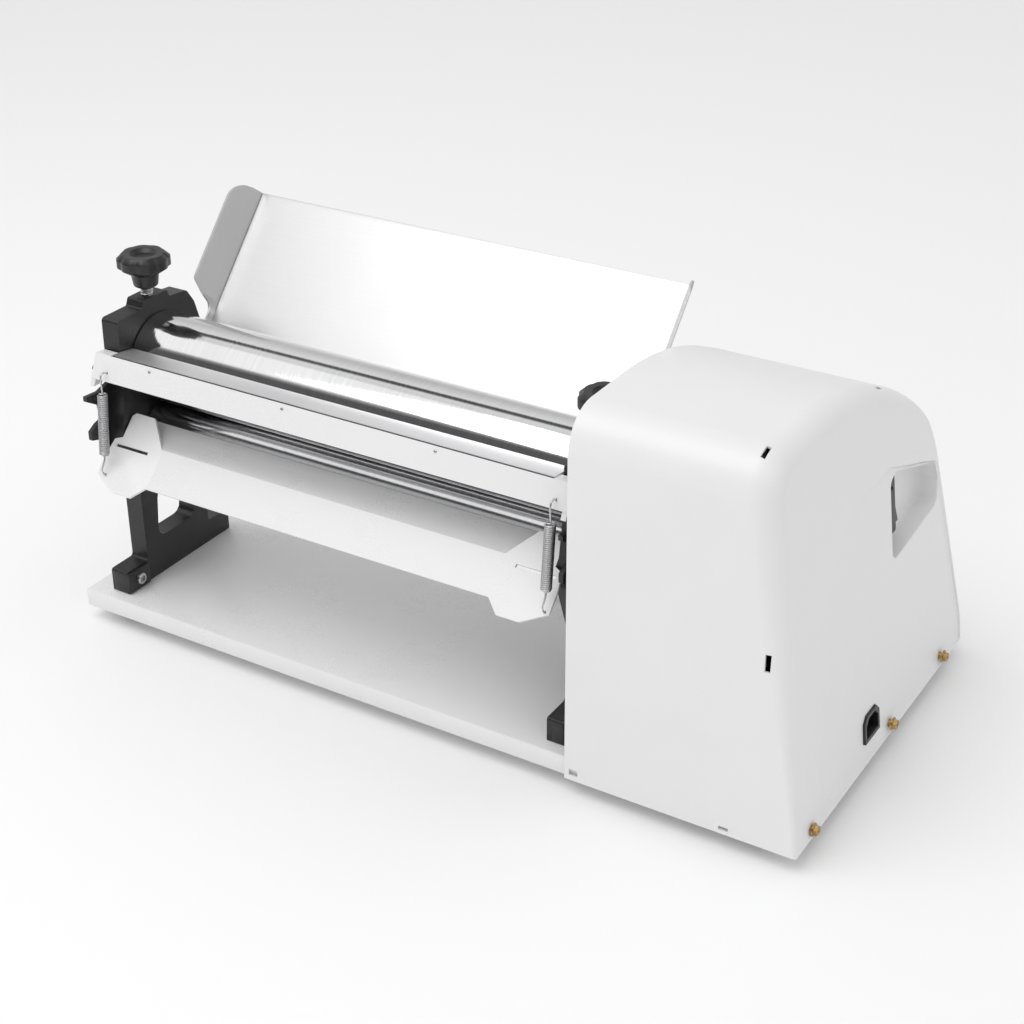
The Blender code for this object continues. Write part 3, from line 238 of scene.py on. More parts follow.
def eased(node, body, material, radius):
    """Triangles are merged, faces within half a degree are joined, then edges over 35 degrees are rounded."""
    mesh = bpy.data.meshes.new(node + "_eased")
    shape = bmesh.new()
    shape.from_mesh(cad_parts[node].data)
    bmesh.ops.remove_doubles(shape, verts=shape.verts, dist=0.000002)
    bmesh.ops.dissolve_limit(shape, angle_limit=math.radians(0.6), verts=shape.verts, edges=shape.edges)
    for face in shape.faces:
        face.smooth = True
    shape.to_mesh(mesh)
    shape.free()
    mesh.materials.clear()
    mesh.materials.append(material)
    mesh.set_sharp_from_angle(angle=math.radians(35))
    made = bpy.data.objects.new(node + "_eased", mesh)
    bpy.context.scene.collection.objects.link(made)
    edge = made.modifiers.new("eased_edges", "BEVEL")
    edge.width = radius
    edge.segments = 3
    edge.limit_method = "ANGLE"
    edge.angle_limit = math.radians(35)
    edge.harden_normals = True
    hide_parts(node)
    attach(made, body)
    return made


white_enamel = grained("white_enamel", (0.80, 0.80, 0.80), (0.785, 0.785, 0.787), (0.24, 0.34), bump=0.02)
eased("base_plate", "frame", white_enamel, 0.0006)


# ---- Rubber feet.
# Moulded rubber cups with a rounded shoulder and a flat tread, one under each corner of the plate.
def surface_mesh(name, grid, wrap=False):
    """Quads between the neighbours of a grid of points; with wrap, the last column also meets the first."""
    rows, columns = grid.shape[:2]
    index = np.arange(rows * columns).reshape(rows, columns)
    after = np.roll(index, -1, axis=1)
    if not wrap:
        index, after = index[:, :-1], after[:, :-1]
    quads = np.stack([index[:-1], after[:-1], after[1:], index[1:]], axis=-1).reshape(-1, 4)
    mesh = bpy.data.meshes.new(name)
    mesh.from_pydata(grid.reshape(-1, 3).tolist(), [], quads.tolist())
    return mesh


def finish_piece(name, mesh, body, material, nodes=(), sharp=35):
    """Merges doubled points at seams and poles, turns the faces outwards and puts the piece on its body."""
    shape = bmesh.new()
    shape.from_mesh(mesh)
    bmesh.ops.remove_doubles(shape, verts=shape.verts, dist=0.000002)
    bmesh.ops.recalc_face_normals(shape, faces=shape.faces)
    for face in shape.faces:
        face.smooth = True
    shape.to_mesh(mesh)
    shape.free()
    mesh.materials.clear()
    mesh.materials.append(material)
    mesh.set_sharp_from_angle(angle=math.radians(sharp))
    made = bpy.data.objects.new(name, mesh)
    bpy.context.scene.collection.objects.link(made)
    if nodes:
        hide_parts(*nodes)
    if body:
        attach(made, body)
    return made


def turned_along(profile, centre, axis=0, steps=96):
    """Points (along, radius) swept round an axis through the centre; the profile's ends lie on the axis."""
    along, radius = np.asarray(profile, float).T
    turn = np.linspace(0, 2 * np.pi, steps, endpoint=False)
    grid = np.zeros((len(along), steps, 3))
    first, second = [(1, 2), (2, 0), (0, 1)][axis]
    grid[..., axis] = along[:, None]
    grid[..., first] = centre[0] + radius[:, None] * np.cos(turn)
    grid[..., second] = centre[1] + radius[:, None] * np.sin(turn)
    return grid


def eased_profile(points, radius, steps=5):
    """Each inner corner of a profile is replaced by a short curve that leaves both sides in line."""
    points = [np.array(point, float) for point in points]
    out = [points[0]]
    for before, here, after in zip(points, points[1:], points[2:]):
        reach = min(radius, 0.45 * np.linalg.norm(before - here), 0.45 * np.linalg.norm(after - here))
        start = here + (before - here) / np.linalg.norm(before - here) * reach
        end = here + (after - here) / np.linalg.norm(after - here) * reach
        share = np.linspace(0, 1, steps)[:, None]
        out.extend((1 - share) ** 2 * start + 2 * share * (1 - share) * here + share**2 * end)
    out.append(points[-1])
    return out


black_rubber = grained("black_rubber", (0.035, 0.035, 0.035), (0.018, 0.018, 0.018), (0.65, 0.9), bump=0.3)
for place in ("front_left", "rear_left", "front_right", "rear_right"):
    node = "rubber_foot_" + place
    low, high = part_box(node)
    middle = (0.5 * (low[0] + high[0]), 0.5 * (low[1] + high[1]))
    wide, tall = 0.5 * (high[0] - low[0]), high[2] - low[2]
    outline = [
        (high[2], 0.0), (high[2], wide), (high[2] - 0.42 * tall, wide),
        (low[2], 0.76 * wide), (low[2], 0.45 * wide), (low[2] + 0.12 * tall, 0.40 * wide),
        (low[2] + 0.12 * tall, 0.0),
    ]
    grid = turned_along(eased_profile(outline, 0.0014), middle, axis=2, steps=64)
    mesh = surface_mesh(node + "_cup", grid, wrap=True)
    finish_piece(node + "_cup", mesh, "frame", black_rubber, [node])


# ---- Side frames.
# Iron castings with a satin black enamel: two legs, a bridge, two prongs in front and a toe block, which a
# bright socket-head bolt holds to the base plate.
black_enamel = grained(
    "black_enamel", (0.020, 0.020, 0.022), (0.009, 0.009, 0.010), (0.28, 0.45),
    grain=(420, 420, 420), bump=0.3,
)
bright_steel = grained("bright_steel", (0.66, 0.66, 0.67), (0.50, 0.50, 0.51), (0.22, 0.36), 1.0, bump=0.05)
for side in ("left", "right"):
    eased("side_frame_" + side, "frame", black_enamel, 0.0010)


def toe_bolt(name, x, y, z, way):
    """A turned head with a sunk socket, facing along X."""
    outline = [
        (x - way * 0.0010, 0.0), (x - way * 0.0010, 0.0046), (x + way * 0.0022, 0.0046),
        (x + way * 0.0028, 0.0040),
        (x + way * 0.0028, 0.0026), (x + way * 0.0006, 0.0024), (x + way * 0.0006, 0.0),
    ]
    mesh = surface_mesh(name, turned_along(outline, (y, z), steps=36), True)
    finish_piece(name, mesh, "frame", bright_steel, sharp=30)


toe_bolt("toe_bolt_left", corner[0] + 0.0387, corner[1] + 0.0230, corner[2] + 0.0255, 1.0)


# ---- Bushes, bearing blocks and scraper arms.
# Bronze bushes pressed into the castings and into two black blocks that slide in them; a pointed arm
# outside each block carries the upper scraper.
def paint(node, material):
    """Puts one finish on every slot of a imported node."""
    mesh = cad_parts[node].data
    if not mesh.materials:
        mesh.materials.append(material)
    for index in range(len(mesh.materials)):
        mesh.materials[index] = material


turned_brass = grained(
    "turned_brass", (0.60, 0.41, 0.17), (0.36, 0.22, 0.09), (0.22, 0.42), 1.0, bump=0.06, cloud=160.0,
)
for side in ("left", "right"):
    eased("bearing_block_" + side, "carriage", black_enamel, 0.0006)
    eased("scraper_arm_" + side, "carriage", black_enamel, 0.0006)
    paint("lower_bush_" + side, turned_brass)
    paint("upper_bush_" + side, turned_brass)
    paint("scraper_pin_" + side, bright_steel)


# ---- Rollers.
# Ground steel with hard chrome, each in one piece with its journals. Grinding left faint rings round them,
# so a reflection's edge looks frayed across the roller.
def roller(node, body):
    """A cylinder between two shoulders and its two journals."""
    low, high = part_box(node)
    barrel = 0.5 * (high[2] - low[2])
    centre = (0.5 * (low[1] + high[1]), 0.5 * (low[2] + high[2]))
    inner_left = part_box("side_frame_left")[0][0] + 0.0164
    inner_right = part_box("side_frame_right")[0][0] - 0.0004
    journal = 0.0110
    outline = [
        (low[0], 0.0), (low[0], journal), (inner_left, journal), (inner_left, barrel),
        (inner_right, barrel), (inner_right, journal), (high[0], journal), (high[0], 0.0),
    ]
    grid = turned_along(eased_profile(outline, 0.0012), centre, steps=160)
    mesh = surface_mesh(node + "_barrel", grid, wrap=True)
    finish_piece(node + "_barrel", mesh, body, hard_chrome, [node], sharp=50)


hard_chrome = grained(
    "hard_chrome", (0.90, 0.90, 0.905), (0.80, 0.80, 0.81), (0.06, 0.13), 1.0, (520, 14, 14), 0.10, 6.0,
)
roller("lower_roller", "lower_roll")
roller("upper_roller", "upper_roll")


# ---- Adjusting screws and knobs.
# Bright steel screws with a rolled thread, under black moulded hand knobs with eight shallow lobes, a round
# shoulder and a dished top.
black_moulding = grained(
    "black_moulding", (0.024, 0.024, 0.025), (0.012, 0.012, 0.013), (0.30, 0.46),
    grain=(1500, 1500, 1500), bump=0.12,
)


def star_knob(node, body):
    """The section gives height, radius and lobe share; the radius dips as a power of the turn's cosine."""
    low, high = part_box(node)
    x, y = 0.5 * (low[0] + high[0]), 0.5 * (low[1] + high[1])
    wide = 0.5 * (high[0] - low[0])
    disc = 0.0145
    section = np.array(eased_profile([
        (low[2] + 0.0100, 0.0, 0), (low[2] + 0.0100, 0.0053, 0), (low[2], 0.0053, 0), (low[2], 0.0094, 0),
        (high[2] - disc - 0.0020, 0.0108, 0), (high[2] - disc + 0.0002, 0.70 * wide, 0.6),
        (high[2] - 0.70 * disc, wide, 1), (high[2] - 0.26 * disc, wide, 1), (high[2], 0.80 * wide, 0.8),
        (high[2] - 0.0002, 0.52 * wide, 0.2), (high[2] - 0.0034, 0.40 * wide, 0), (high[2] - 0.0036, 0.0, 0),
    ], 0.0040, 9))
    turn = np.linspace(0, 2 * np.pi, 240, endpoint=False)
    wave = 1 - 0.060 * section[:, 2:3] * (0.5 - 0.5 * np.cos(8 * turn)) ** 2.2
    radius = section[:, 1:2] * wave
    height = section[:, :1] + 0 * radius
    grid = np.stack([x + radius * np.cos(turn), y + radius * np.sin(turn), height], axis=-1)
    mesh = surface_mesh(node + "_star", grid, wrap=True)
    finish_piece(node + "_star", mesh, body, black_moulding, [node], sharp=60)


def threaded_rod(node, body):
    """The radius falls and rises once for each turn and each pitch of height: a helical thread."""
    low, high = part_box(node)
    x, y = 0.5 * (low[0] + high[0]), 0.5 * (low[1] + high[1])
    outer, pitch, depth = 0.5 * (high[0] - low[0]), 0.0020, 0.0007
    height = np.linspace(low[2], high[2], int((high[2] - low[2]) / pitch * 10))[:, None]
    turn = np.linspace(0, 2 * np.pi, 48, endpoint=False)
    phase = height / pitch - turn / (2 * np.pi)
    ridge = np.abs(2 * (phase - np.floor(phase)) - 1)
    radius = outer - depth * np.clip(1.3 * ridge - 0.15, 0, 1)
    radius[0] = radius[-1] = 0.8 * outer
    grid = np.stack([x + radius * np.cos(turn), y + radius * np.sin(turn), height + 0 * radius], axis=-1)
    pole = np.zeros((1, 48, 3)) + np.array([x, y, 0])
    grid = np.concatenate([pole + [0, 0, low[2]], grid, pole + [0, 0, high[2]]])
    mesh = surface_mesh(node + "_thread", grid, wrap=True)
    finish_piece(node + "_thread", mesh, body, bright_steel, [node], sharp=80)


for side in ("left", "right"):
    star_knob("knob_" + side, side + "_adjuster")
    threaded_rod("adjusting_screw_" + side, side + "_adjuster")


# ---- Hopper.
# Polished stainless sheet folded from one blank: a flat slope with two side walls that lean outwards, held
# by one screw on each side.
polished_sheet = grained(
    "polished_sheet", (0.66, 0.66, 0.665), (0.60, 0.60, 0.605), (0.30, 0.44), 1.0,
    (20, 1400, 1400), 0.03, 7.0,
)
for side in ("left", "right"):
    paint("hopper_screw_" + side, bright_steel)


def hopper():
    """The fold line of each side runs up the slope, and the wall rises from it along the slope's normal."""
    slope = math.radians(47.6)
    along = np.array([0.0, math.cos(slope), math.sin(slope)])
    up = np.array([0.0, -math.sin(slope), math.cos(slope)])
    foot = corner + np.array([0.0, 0.0965, 0.1613])
    length, wall, splay, sheet = 0.1745, 0.0250, 0.0140, 0.0015
    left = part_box("side_frame_left")[0][0] + 0.0165
    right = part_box("side_frame_right")[0][0] - 0.0005
    s = np.linspace(0, 1, 120)
    run = 0.0300 + (length - 0.0300) * s
    edge_run = [0.030, 0.032, 0.070, 0.073, 0.0845, 0.0870]
    climb = np.interp(run, edge_run, [0.006, 0.009, 0.009, 0.010, 0.0235, wall])
    top_arc = np.sqrt(np.clip(1 - np.clip((run - (length - 0.016)) / 0.016, 0, 1) ** 2, 0, 1))
    climb = np.where(run > length - 0.016, wall - 0.016 + 0.016 * top_arc, climb)
    share = np.linspace(0, 1, 14)
    height = sheet + share[None, :] * (climb[:, None] - sheet)
    spread = np.clip((run - 0.066) / 0.012, 0, 1)[:, None]
    lean = splay * height / wall * spread
    for name, x, way in (("hopper_left_wall", left, -1.0), ("hopper_right_wall", right, 1.0)):
        grid = foot + run[:, None, None] * along + height[..., None] * up
        grid[..., 0] = x - way * 0.0008 + way * lean
        mesh = surface_mesh(name, grid)
        piece = finish_piece(name, mesh, "frame", polished_sheet, sharp=60)
        wall_sheet = piece.modifiers.new("sheet", "SOLIDIFY")
        wall_sheet.thickness = 0.0014
        wall_sheet.offset = 0.0
        rim = piece.modifiers.new("rim", "BEVEL")
        rim.width = 0.0003
        rim.segments = 2
        rim.limit_method = "ANGLE"
    across = np.linspace(left, right, 40)
    run = np.linspace(0, length, 40)
    grid = foot + run[:, None, None] * along + 0.5 * sheet * up + 0 * across[None, :, None]
    grid[..., 0] = across[None, :]
    mesh = surface_mesh("hopper_slope", grid)
    piece = finish_piece("hopper_slope", mesh, "frame", polished_sheet, ["hopper"])
    sheet_wall = piece.modifiers.new("sheet", "SOLIDIFY")
    sheet_wall.thickness = sheet
    sheet_wall.offset = 0.0
    rim = piece.modifiers.new("rim", "BEVEL")
    rim.width = 0.0003
    rim.segments = 2
    rim.limit_method = "ANGLE"


hopper()


# ---- Upper scraper.
# A white enamelled angle with ears, a strip of satin steel along its top that ends in the blade, a flush dark
# strip of painted shade for the groove at the crease between the two, and three small rivets under it.
def upper_scraper():
    """Two strips along X on the angle's top, and three domes whose section is a quarter circle."""
    eased("upper_scraper", "upper_wiper", white_enamel, 0.0007)
    pin_y, pin_z = corner[1] + 0.0250, corner[2] + 0.2075
    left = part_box("side_frame_left")[0][0] + 0.0172
    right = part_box("side_frame_right")[0][0] - 0.0012
    strips = (
        ("scraper_blade", satin_steel, [
            (0.0188, 0.0100), (0.0100, 0.0112), (-0.0036, 0.0129), (-0.0036, 0.0136), (0.0100, 0.0120),
            (0.0192, 0.0104),
        ]),
        # The second strip is flush dark steel at the crease: painted shade where the groove's shadow falls.
        ("scraper_painted_shade_strip", painted_groove_shade, [
            (-0.0037, 0.0129), (-0.0048, 0.0131), (-0.0048, 0.01325), (-0.0037, 0.0131),
        ]),
    )
    for name, material, outline in strips:
        outline = np.array(outline)
        across = np.linspace(left, right, 60)
        grid = np.zeros((62, len(outline), 3))
        grid[..., 0] = np.concatenate([across[:1], across, across[-1:]])[:, None]
        grid[..., 1] = pin_y + outline[:, 0]
        grid[..., 2] = pin_z + outline[:, 1]
        grid[0, :, 1:] = grid[-1, :, 1:] = grid[0, :, 1:].mean(axis=0)
        mesh = surface_mesh(name, grid, wrap=True)
        finish_piece(name, mesh, "upper_wiper", material, sharp=30)
    out = np.array([0.0, -0.914, 0.406])
    side = np.array([1.0, 0.0, 0.0])
    rise = np.cross(out, side)
    turn = np.linspace(0, 2 * np.pi, 24, endpoint=False)
    dome = np.radians(np.linspace(0, 90, 7))
    ring = np.cos(turn)[None, :, None] * side + np.sin(turn)[None, :, None] * rise
    for index, share in enumerate((0.10, 0.42, 0.76)):
        centre = np.array([left + share * (right - left), pin_y - 0.0066, pin_z + 0.0097])
        radius, height = 0.0013 * np.cos(dome), 0.0007 * np.sin(dome)
        grid = centre + radius[:, None, None] * ring + height[:, None, None] * out
        mesh = surface_mesh(f"scraper_rivet_{index}", grid, wrap=True)
        finish_piece(f"scraper_rivet_{index}", mesh, "upper_wiper", bright_steel, sharp=60)


satin_steel = grained(
    "satin_steel", (0.90, 0.90, 0.905), (0.84, 0.84, 0.85), (0.42, 0.55), 1.0, (30, 1400, 1400), 0.04, 9.0,
)
# A dark steel finish used only for that strip: painted shade for the groove at the crease.
painted_groove_shade = grained("painted_groove_shade", (0.16, 0.16, 0.165), (0.10, 0.10, 0.105), (0.45, 0.6), 1.0, bump=0.1)
upper_scraper()


# ---- Lower scraper.
# A white enamelled chute with an ear at each end, a slot through each ear and a knuckle on the frame's pin.
eased("lower_scraper", "chute", white_enamel, 0.0003)


# ---- Springs.
# Close-wound steel tension springs between the two scrapers, their end hooks bent from the same wire.
def spring(side):
    """A wire swept along hook, helix and hook; the helix turns about the line between the two ends."""
    node = "scraper_spring_" + side
    low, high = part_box(node)
    x = 0.5 * (low[0] + high[0])
    y0, z0 = corner[1], corner[2]
    top = np.array([x, y0 + 0.0075, z0 + 0.1950])
    foot = np.array([x, y0 + 0.0020, z0 + 0.1440])
    axis = (foot - top) / np.linalg.norm(foot - top)
    across = np.array([0.0, -axis[2], axis[1]])
    turns, coil, wire = 34, 0.0034, 0.0007
    share = np.linspace(0, 1, turns * 20)
    fade = np.clip(np.minimum(share, 1 - share) * turns, 0, 1)
    turn = 2 * np.pi * turns * share
    helix = top + share[:, None] * (foot - top)
    helix = helix + (coil * fade * np.sin(turn))[:, None] * np.array([1.0, 0, 0])
    helix = helix + (coil * fade * np.cos(turn))[:, None] * across
    upper = np.array([
        (x, y0 + 0.0200, z0 + 0.2062), (x, y0 + 0.0114, z0 + 0.2102), (x, y0 + 0.0082, z0 + 0.2096),
        (x, y0 + 0.0072, z0 + 0.2060), (x, y0 + 0.0075, z0 + 0.1970),
    ])
    lower = np.array([
        (x, y0 + 0.0017, z0 + 0.1410), (x, y0 - 0.0024, z0 + 0.1338), (x, y0 - 0.0016, z0 + 0.1308),
        (x, y0 + 0.0014, z0 + 0.1278), (x, y0 + 0.0040, z0 + 0.1252),
    ])
    path = np.concatenate([upper, helix, lower])
    tangent = np.gradient(path, axis=0)
    tangent = tangent / np.linalg.norm(tangent, axis=1)[:, None]
    normal = np.cross(tangent, axis)
    flat = np.linalg.norm(normal, axis=1)[:, None] < 0.3
    normal = np.where(flat, np.cross(tangent, across + [1.0, 0.0, 0.0]), normal)
    normal = normal / np.linalg.norm(normal, axis=1)[:, None]
    binormal = np.cross(tangent, normal)
    ring = np.linspace(0, 2 * np.pi, 8, endpoint=False)
    around = np.cos(ring)[None, :, None] * normal[:, None] + np.sin(ring)[None, :, None] * binormal[:, None]
    grid = path[:, None] + wire * around
    grid = np.concatenate([path[:1, None] + 0 * grid[:1], grid, path[-1:, None] + 0 * grid[:1]])
    mesh = surface_mesh(node + "_wire", grid, wrap=True)
    piece = finish_piece(node + "_wire", mesh, None, bright_steel, [node], sharp=80)
    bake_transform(piece)


for side in ("left", "right"):
    spring(side)


# ---- Drive.
# Long-toothed steel gears, a flat belt between two aluminium pulleys, and a cast motor in its cradle, all
# behind a plain sheet panel and under the cover. Their solids already have their real shape.
machined_aluminium = grained(
    "machined_aluminium", (0.72, 0.72, 0.73), (0.58, 0.58, 0.59), (0.28, 0.42), 1.0, (40, 1600, 1600), 0.06,
)
for node, material in (
    ("lower_long_gear", bright_steel), ("upper_long_gear", bright_steel),
    ("roller_pulley", machined_aluminium),
    ("motor_pulley", machined_aluminium), ("motor_body", machined_aluminium), ("motor_shaft", bright_steel),
    ("motor_cradle", black_enamel), ("drive_belt", black_rubber), ("side_panel", machined_aluminium),
):
    paint(node, material)


# ---- Drive cover.
# One white moulding with an upright front, a long falling back and a right face that leans in. The sheet is
# drawn 1.6 mm thick and the solid is 2.5 mm. Its rims are rounded, its right face has a shallow arched field,
# and the switch sits in a recess moulded into it.
white_moulding = grained(
    "white_moulding", (0.80, 0.80, 0.803), (0.785, 0.785, 0.788), (0.34, 0.44),
    grain=(1400, 1400, 1400), bump=0.05,
)
recess_middle = np.array([0.227, 0.1625])
cover_wall = 0.0016
field_depth = 0.0013
recess_depth = 0.0170
floor_radius = 0.0040
face_at_foot, face_lean = 0.6226, 0.125


def arc_outline(corners, steps, straight):
    """Straight runs and arcs round the corners of a polygon, each run cut into short stretches."""
    points = []
    count = len(corners)
    for index, (y, z, radius) in enumerate(corners):
        here = np.array([y, z])
        before = np.array(corners[index - 1][:2]) - here
        after = np.array(corners[(index + 1) % count][:2]) - here
        if radius <= 0:
            points.append(here[None])
            continue
        before, after = before / np.linalg.norm(before), after / np.linalg.norm(after)
        half = 0.5 * math.acos(float(before @ after))
        middle = (before + after) / np.linalg.norm(before + after)
        centre = here + middle * radius / math.sin(half)
        first = here + before * radius / math.tan(half) - centre
        last = here + after * radius / math.tan(half) - centre
        angle = math.atan2(first[1], first[0])
        sweep = math.remainder(math.atan2(last[1], last[0]) - angle, 2 * math.pi)
        turn = angle + sweep * np.linspace(0, 1, steps)
        points.append(centre + radius * np.stack([np.cos(turn), np.sin(turn)], axis=1))
    path = np.concatenate(points)
    closed = np.concatenate([path, path[:1]])
    gone = np.concatenate([[0], np.cumsum(np.linalg.norm(np.diff(closed, axis=0), axis=1))])
    run = np.diff(gone)
    parts = np.ceil(run / straight).astype(int).clip(1)
    owner = np.repeat(np.arange(len(run)), parts)
    place = np.arange(len(owner)) - np.repeat(np.cumsum(parts) - parts, parts)
    fine = gone[owner] + run[owner] * place / parts[owner]
    fine = fine[np.concatenate([[True], np.diff(fine) > 0.0004])]
    return np.stack([np.interp(fine, gone, closed[:, 0]), np.interp(fine, gone, closed[:, 1])], axis=1)


def cover_side_view():
    """The side view: a polygon with rounded corners, from the front's foot over the top to the back's."""
    return arc_outline([
        (-0.0029, 0.0, 0.0), (-0.0029, 0.2830, 0.0300), (0.130, 0.2830, 0.280), (0.262, 0.225, 0.110),
        (0.3146, 0.020, 0.025), (0.3146, 0.0, 0.0),
    ], 30, 0.0026)


def reach_of(corners, heading):
    """How far a rounded polygon is from the recess's middle in each direction, read off by angle."""
    outline = arc_outline(corners, 14, 0.002) - recess_middle
    angle = np.arctan2(outline[:, 1], outline[:, 0])
    order = np.argsort(angle)
    angle, reach = angle[order], np.hypot(outline[:, 0], outline[:, 1])[order]
    angle = np.concatenate([angle - 2 * np.pi, angle, angle + 2 * np.pi])
    return np.interp(np.arctan2(heading[:, 1], heading[:, 0]), angle, np.tile(reach, 3))


def cover_sheet():
    """Rings of the side view run along X and round the rim, then in to the seam and the recess's edge, then
    down the recess's walls and over its floor."""
    outline = cover_side_view()
    left, foot = 0.4464, outline[:, 1] < 1e-6
    chord = np.roll(outline, -1, axis=0) - np.roll(outline, 1, axis=0)
    inward = np.stack([chord[:, 1], -chord[:, 0]], axis=1)
    inward = inward / np.linalg.norm(inward, axis=1)[:, None]
    inward[foot, 1] = 0.0
    rim = (0.0030 + 0.0150 * np.clip(outline[:, 1] / 0.2, 0, 1) ** 1.5)[:, None]
    rim = rim * (1 - 0.7 * np.clip((outline[:, :1] - 0.225) / 0.035, 0, 1))
    face = lambda flat: face_at_foot - face_lean * flat[:, 1]
    rings = []
    for step in np.linspace(0, 1, 24):
        rings.append(np.column_stack([left + step * (face(outline) - rim[:, 0] - left), outline]))
    for turn in np.linspace(0, 0.5 * np.pi, 14)[1:]:
        flat = outline + inward * rim * (1 - math.cos(turn))
        rings.append(np.column_stack([face(flat) - rim[:, 0] * (1 - math.sin(turn)), flat]))
    last = rings[-1][:, 1:]
    reach = np.linalg.norm(last - recess_middle, axis=1)
    heading = (last - recess_middle) / reach[:, None]
    recess = reach_of([
        (0.181, 0.136, 0.003), (0.181, 0.1915, 0.006), (0.191, 0.196, 0.006), (0.2655, 0.171, 0.003),
        (0.273, 0.160, 0.006), (0.268, 0.138, 0.006), (0.186, 0.131, 0.003),
    ], heading)
    recess = np.minimum(recess, reach - 0.0040)
    seam = reach_of([
        (0.0240, -0.0300, 0.0), (0.0760, 0.2030, 0.075), (0.1800, 0.2040, 0.030), (0.3000, 0.1600, 0.0),
        (0.3600, 0.0500, 0.0), (0.3000, -0.0600, 0.0),
    ], heading)
    seam = np.minimum(np.maximum(seam, recess + 0.0030), reach - 0.0005)
    depth = field_depth
    for step in np.linspace(0, 1, 16)[1:]:
        flat = recess_middle + heading * (reach + step * (seam - reach))[:, None]
        rings.append(np.column_stack([face(flat), flat]))
    band = np.minimum(0.0020, 0.45 * (seam - recess))
    for step in np.linspace(0, 1, 9)[1:]:
        flat = recess_middle + heading * (seam - step * band)[:, None]
        rings.append(np.column_stack([face(flat) - depth * step * step * (3 - 2 * step), flat]))
    for step in np.linspace(0, 1, 16)[1:]:
        flat = recess_middle + heading * (seam - band + step * (recess + 0.0010 - seam + band))[:, None]
        rings.append(np.column_stack([face(flat) - depth * (1 - step), flat]))
    for turn in np.linspace(0, 0.5 * np.pi, 5)[1:]:
        flat = recess_middle + heading * (recess + 0.0010 * (1 - math.sin(turn)))[:, None]
        rings.append(np.column_stack([face(flat) - 0.0010 * (1 - math.cos(turn)), flat]))
    for sunk in (0.005, 0.010, 0.013):
        flat = recess_middle + heading * recess[:, None]
        rings.append(np.column_stack([face(flat) - sunk, flat]))
    for turn in np.linspace(0, 0.5 * np.pi, 6)[1:]:
        flat = recess_middle + heading * (recess - floor_radius * (1 - math.cos(turn)))[:, None]
        sunk = recess_depth - floor_radius + floor_radius * math.sin(turn)
        rings.append(np.column_stack([face(flat) - sunk, flat]))
    for step in (0.8, 0.5, 0.2, 0.0):
        flat = recess_middle + heading * (step * (recess - floor_radius))[:, None]
        rings.append(np.column_stack([face(flat) - recess_depth, flat]))
    mesh = surface_mesh("cover_moulding", np.stack(rings) + corner, wrap=True)
    shape = bmesh.new()
    shape.from_mesh(mesh)
    open_foot = [item for item in shape.faces if max(vert.co.z for vert in item.verts) < corner[2] + 1e-6]
    bmesh.ops.delete(shape, geom=open_foot, context="FACES")
    shape.to_mesh(mesh)
    shape.free()
    return mesh


def cutter(name, mesh):
    """A closed shape that is only used to cut, so it isn't shown."""
    shape = bmesh.new()
    shape.from_mesh(mesh)
    bmesh.ops.remove_doubles(shape, verts=shape.verts, dist=0.000002)
    bmesh.ops.recalc_face_normals(shape, faces=shape.faces)
    shape.to_mesh(mesh)
    shape.free()
    made = bpy.data.objects.new(name, mesh)
    bpy.context.scene.collection.objects.link(made)
    return made


def leaned_prism(outline, inner, outer):
    """An outline in Y and Z carried along X between two depths under the leaning right face."""
    grid = []
    for depth in (None, inner, outer, None):
        flat = outline if depth is not None else np.tile(outline.mean(axis=0), (len(outline), 1))
        reach = depth if depth is not None else (inner if not grid else outer)
        grid.append(np.column_stack([0.6226 - 0.125 * flat[:, 1] + reach, flat]))
    return np.stack(grid) + corner


def straight_box(low, high):
    """The six faces of a box between two corners, as a prism along X."""
    outline = np.array([(low[1], low[2]), (high[1], low[2]), (high[1], high[2]), (low[1], high[2])])
    grid = []
    middle = outline.mean(axis=0)
    for x, flat in ((low[0], middle), (low[0], outline), (high[0], outline), (high[0], middle)):
        grid.append(np.column_stack([np.full(4, x), np.broadcast_to(flat, (4, 2))]))
    return np.stack(grid) + corner


def inlet_outline(grow):
    """The inlet's outline with its two upper corners cut off."""
    front, back, low, high, cut = 0.1185 - grow, 0.1455 + grow, 0.0170 - grow, 0.0380 + grow, 0.0050
    return np.array([
        (front, low), (back, low), (back, high - cut), (back - cut, high), (front + cut, high),
        (front, high - cut),
    ])


def settle(made):
    """Puts what the modifiers make into the piece's own mesh."""
    bpy.context.view_layer.update()
    graph = bpy.context.evaluated_depsgraph_get()
    mesh = bpy.data.meshes.new_from_object(made.evaluated_get(graph))
    made.modifiers.clear()
    made.data = mesh
    return mesh


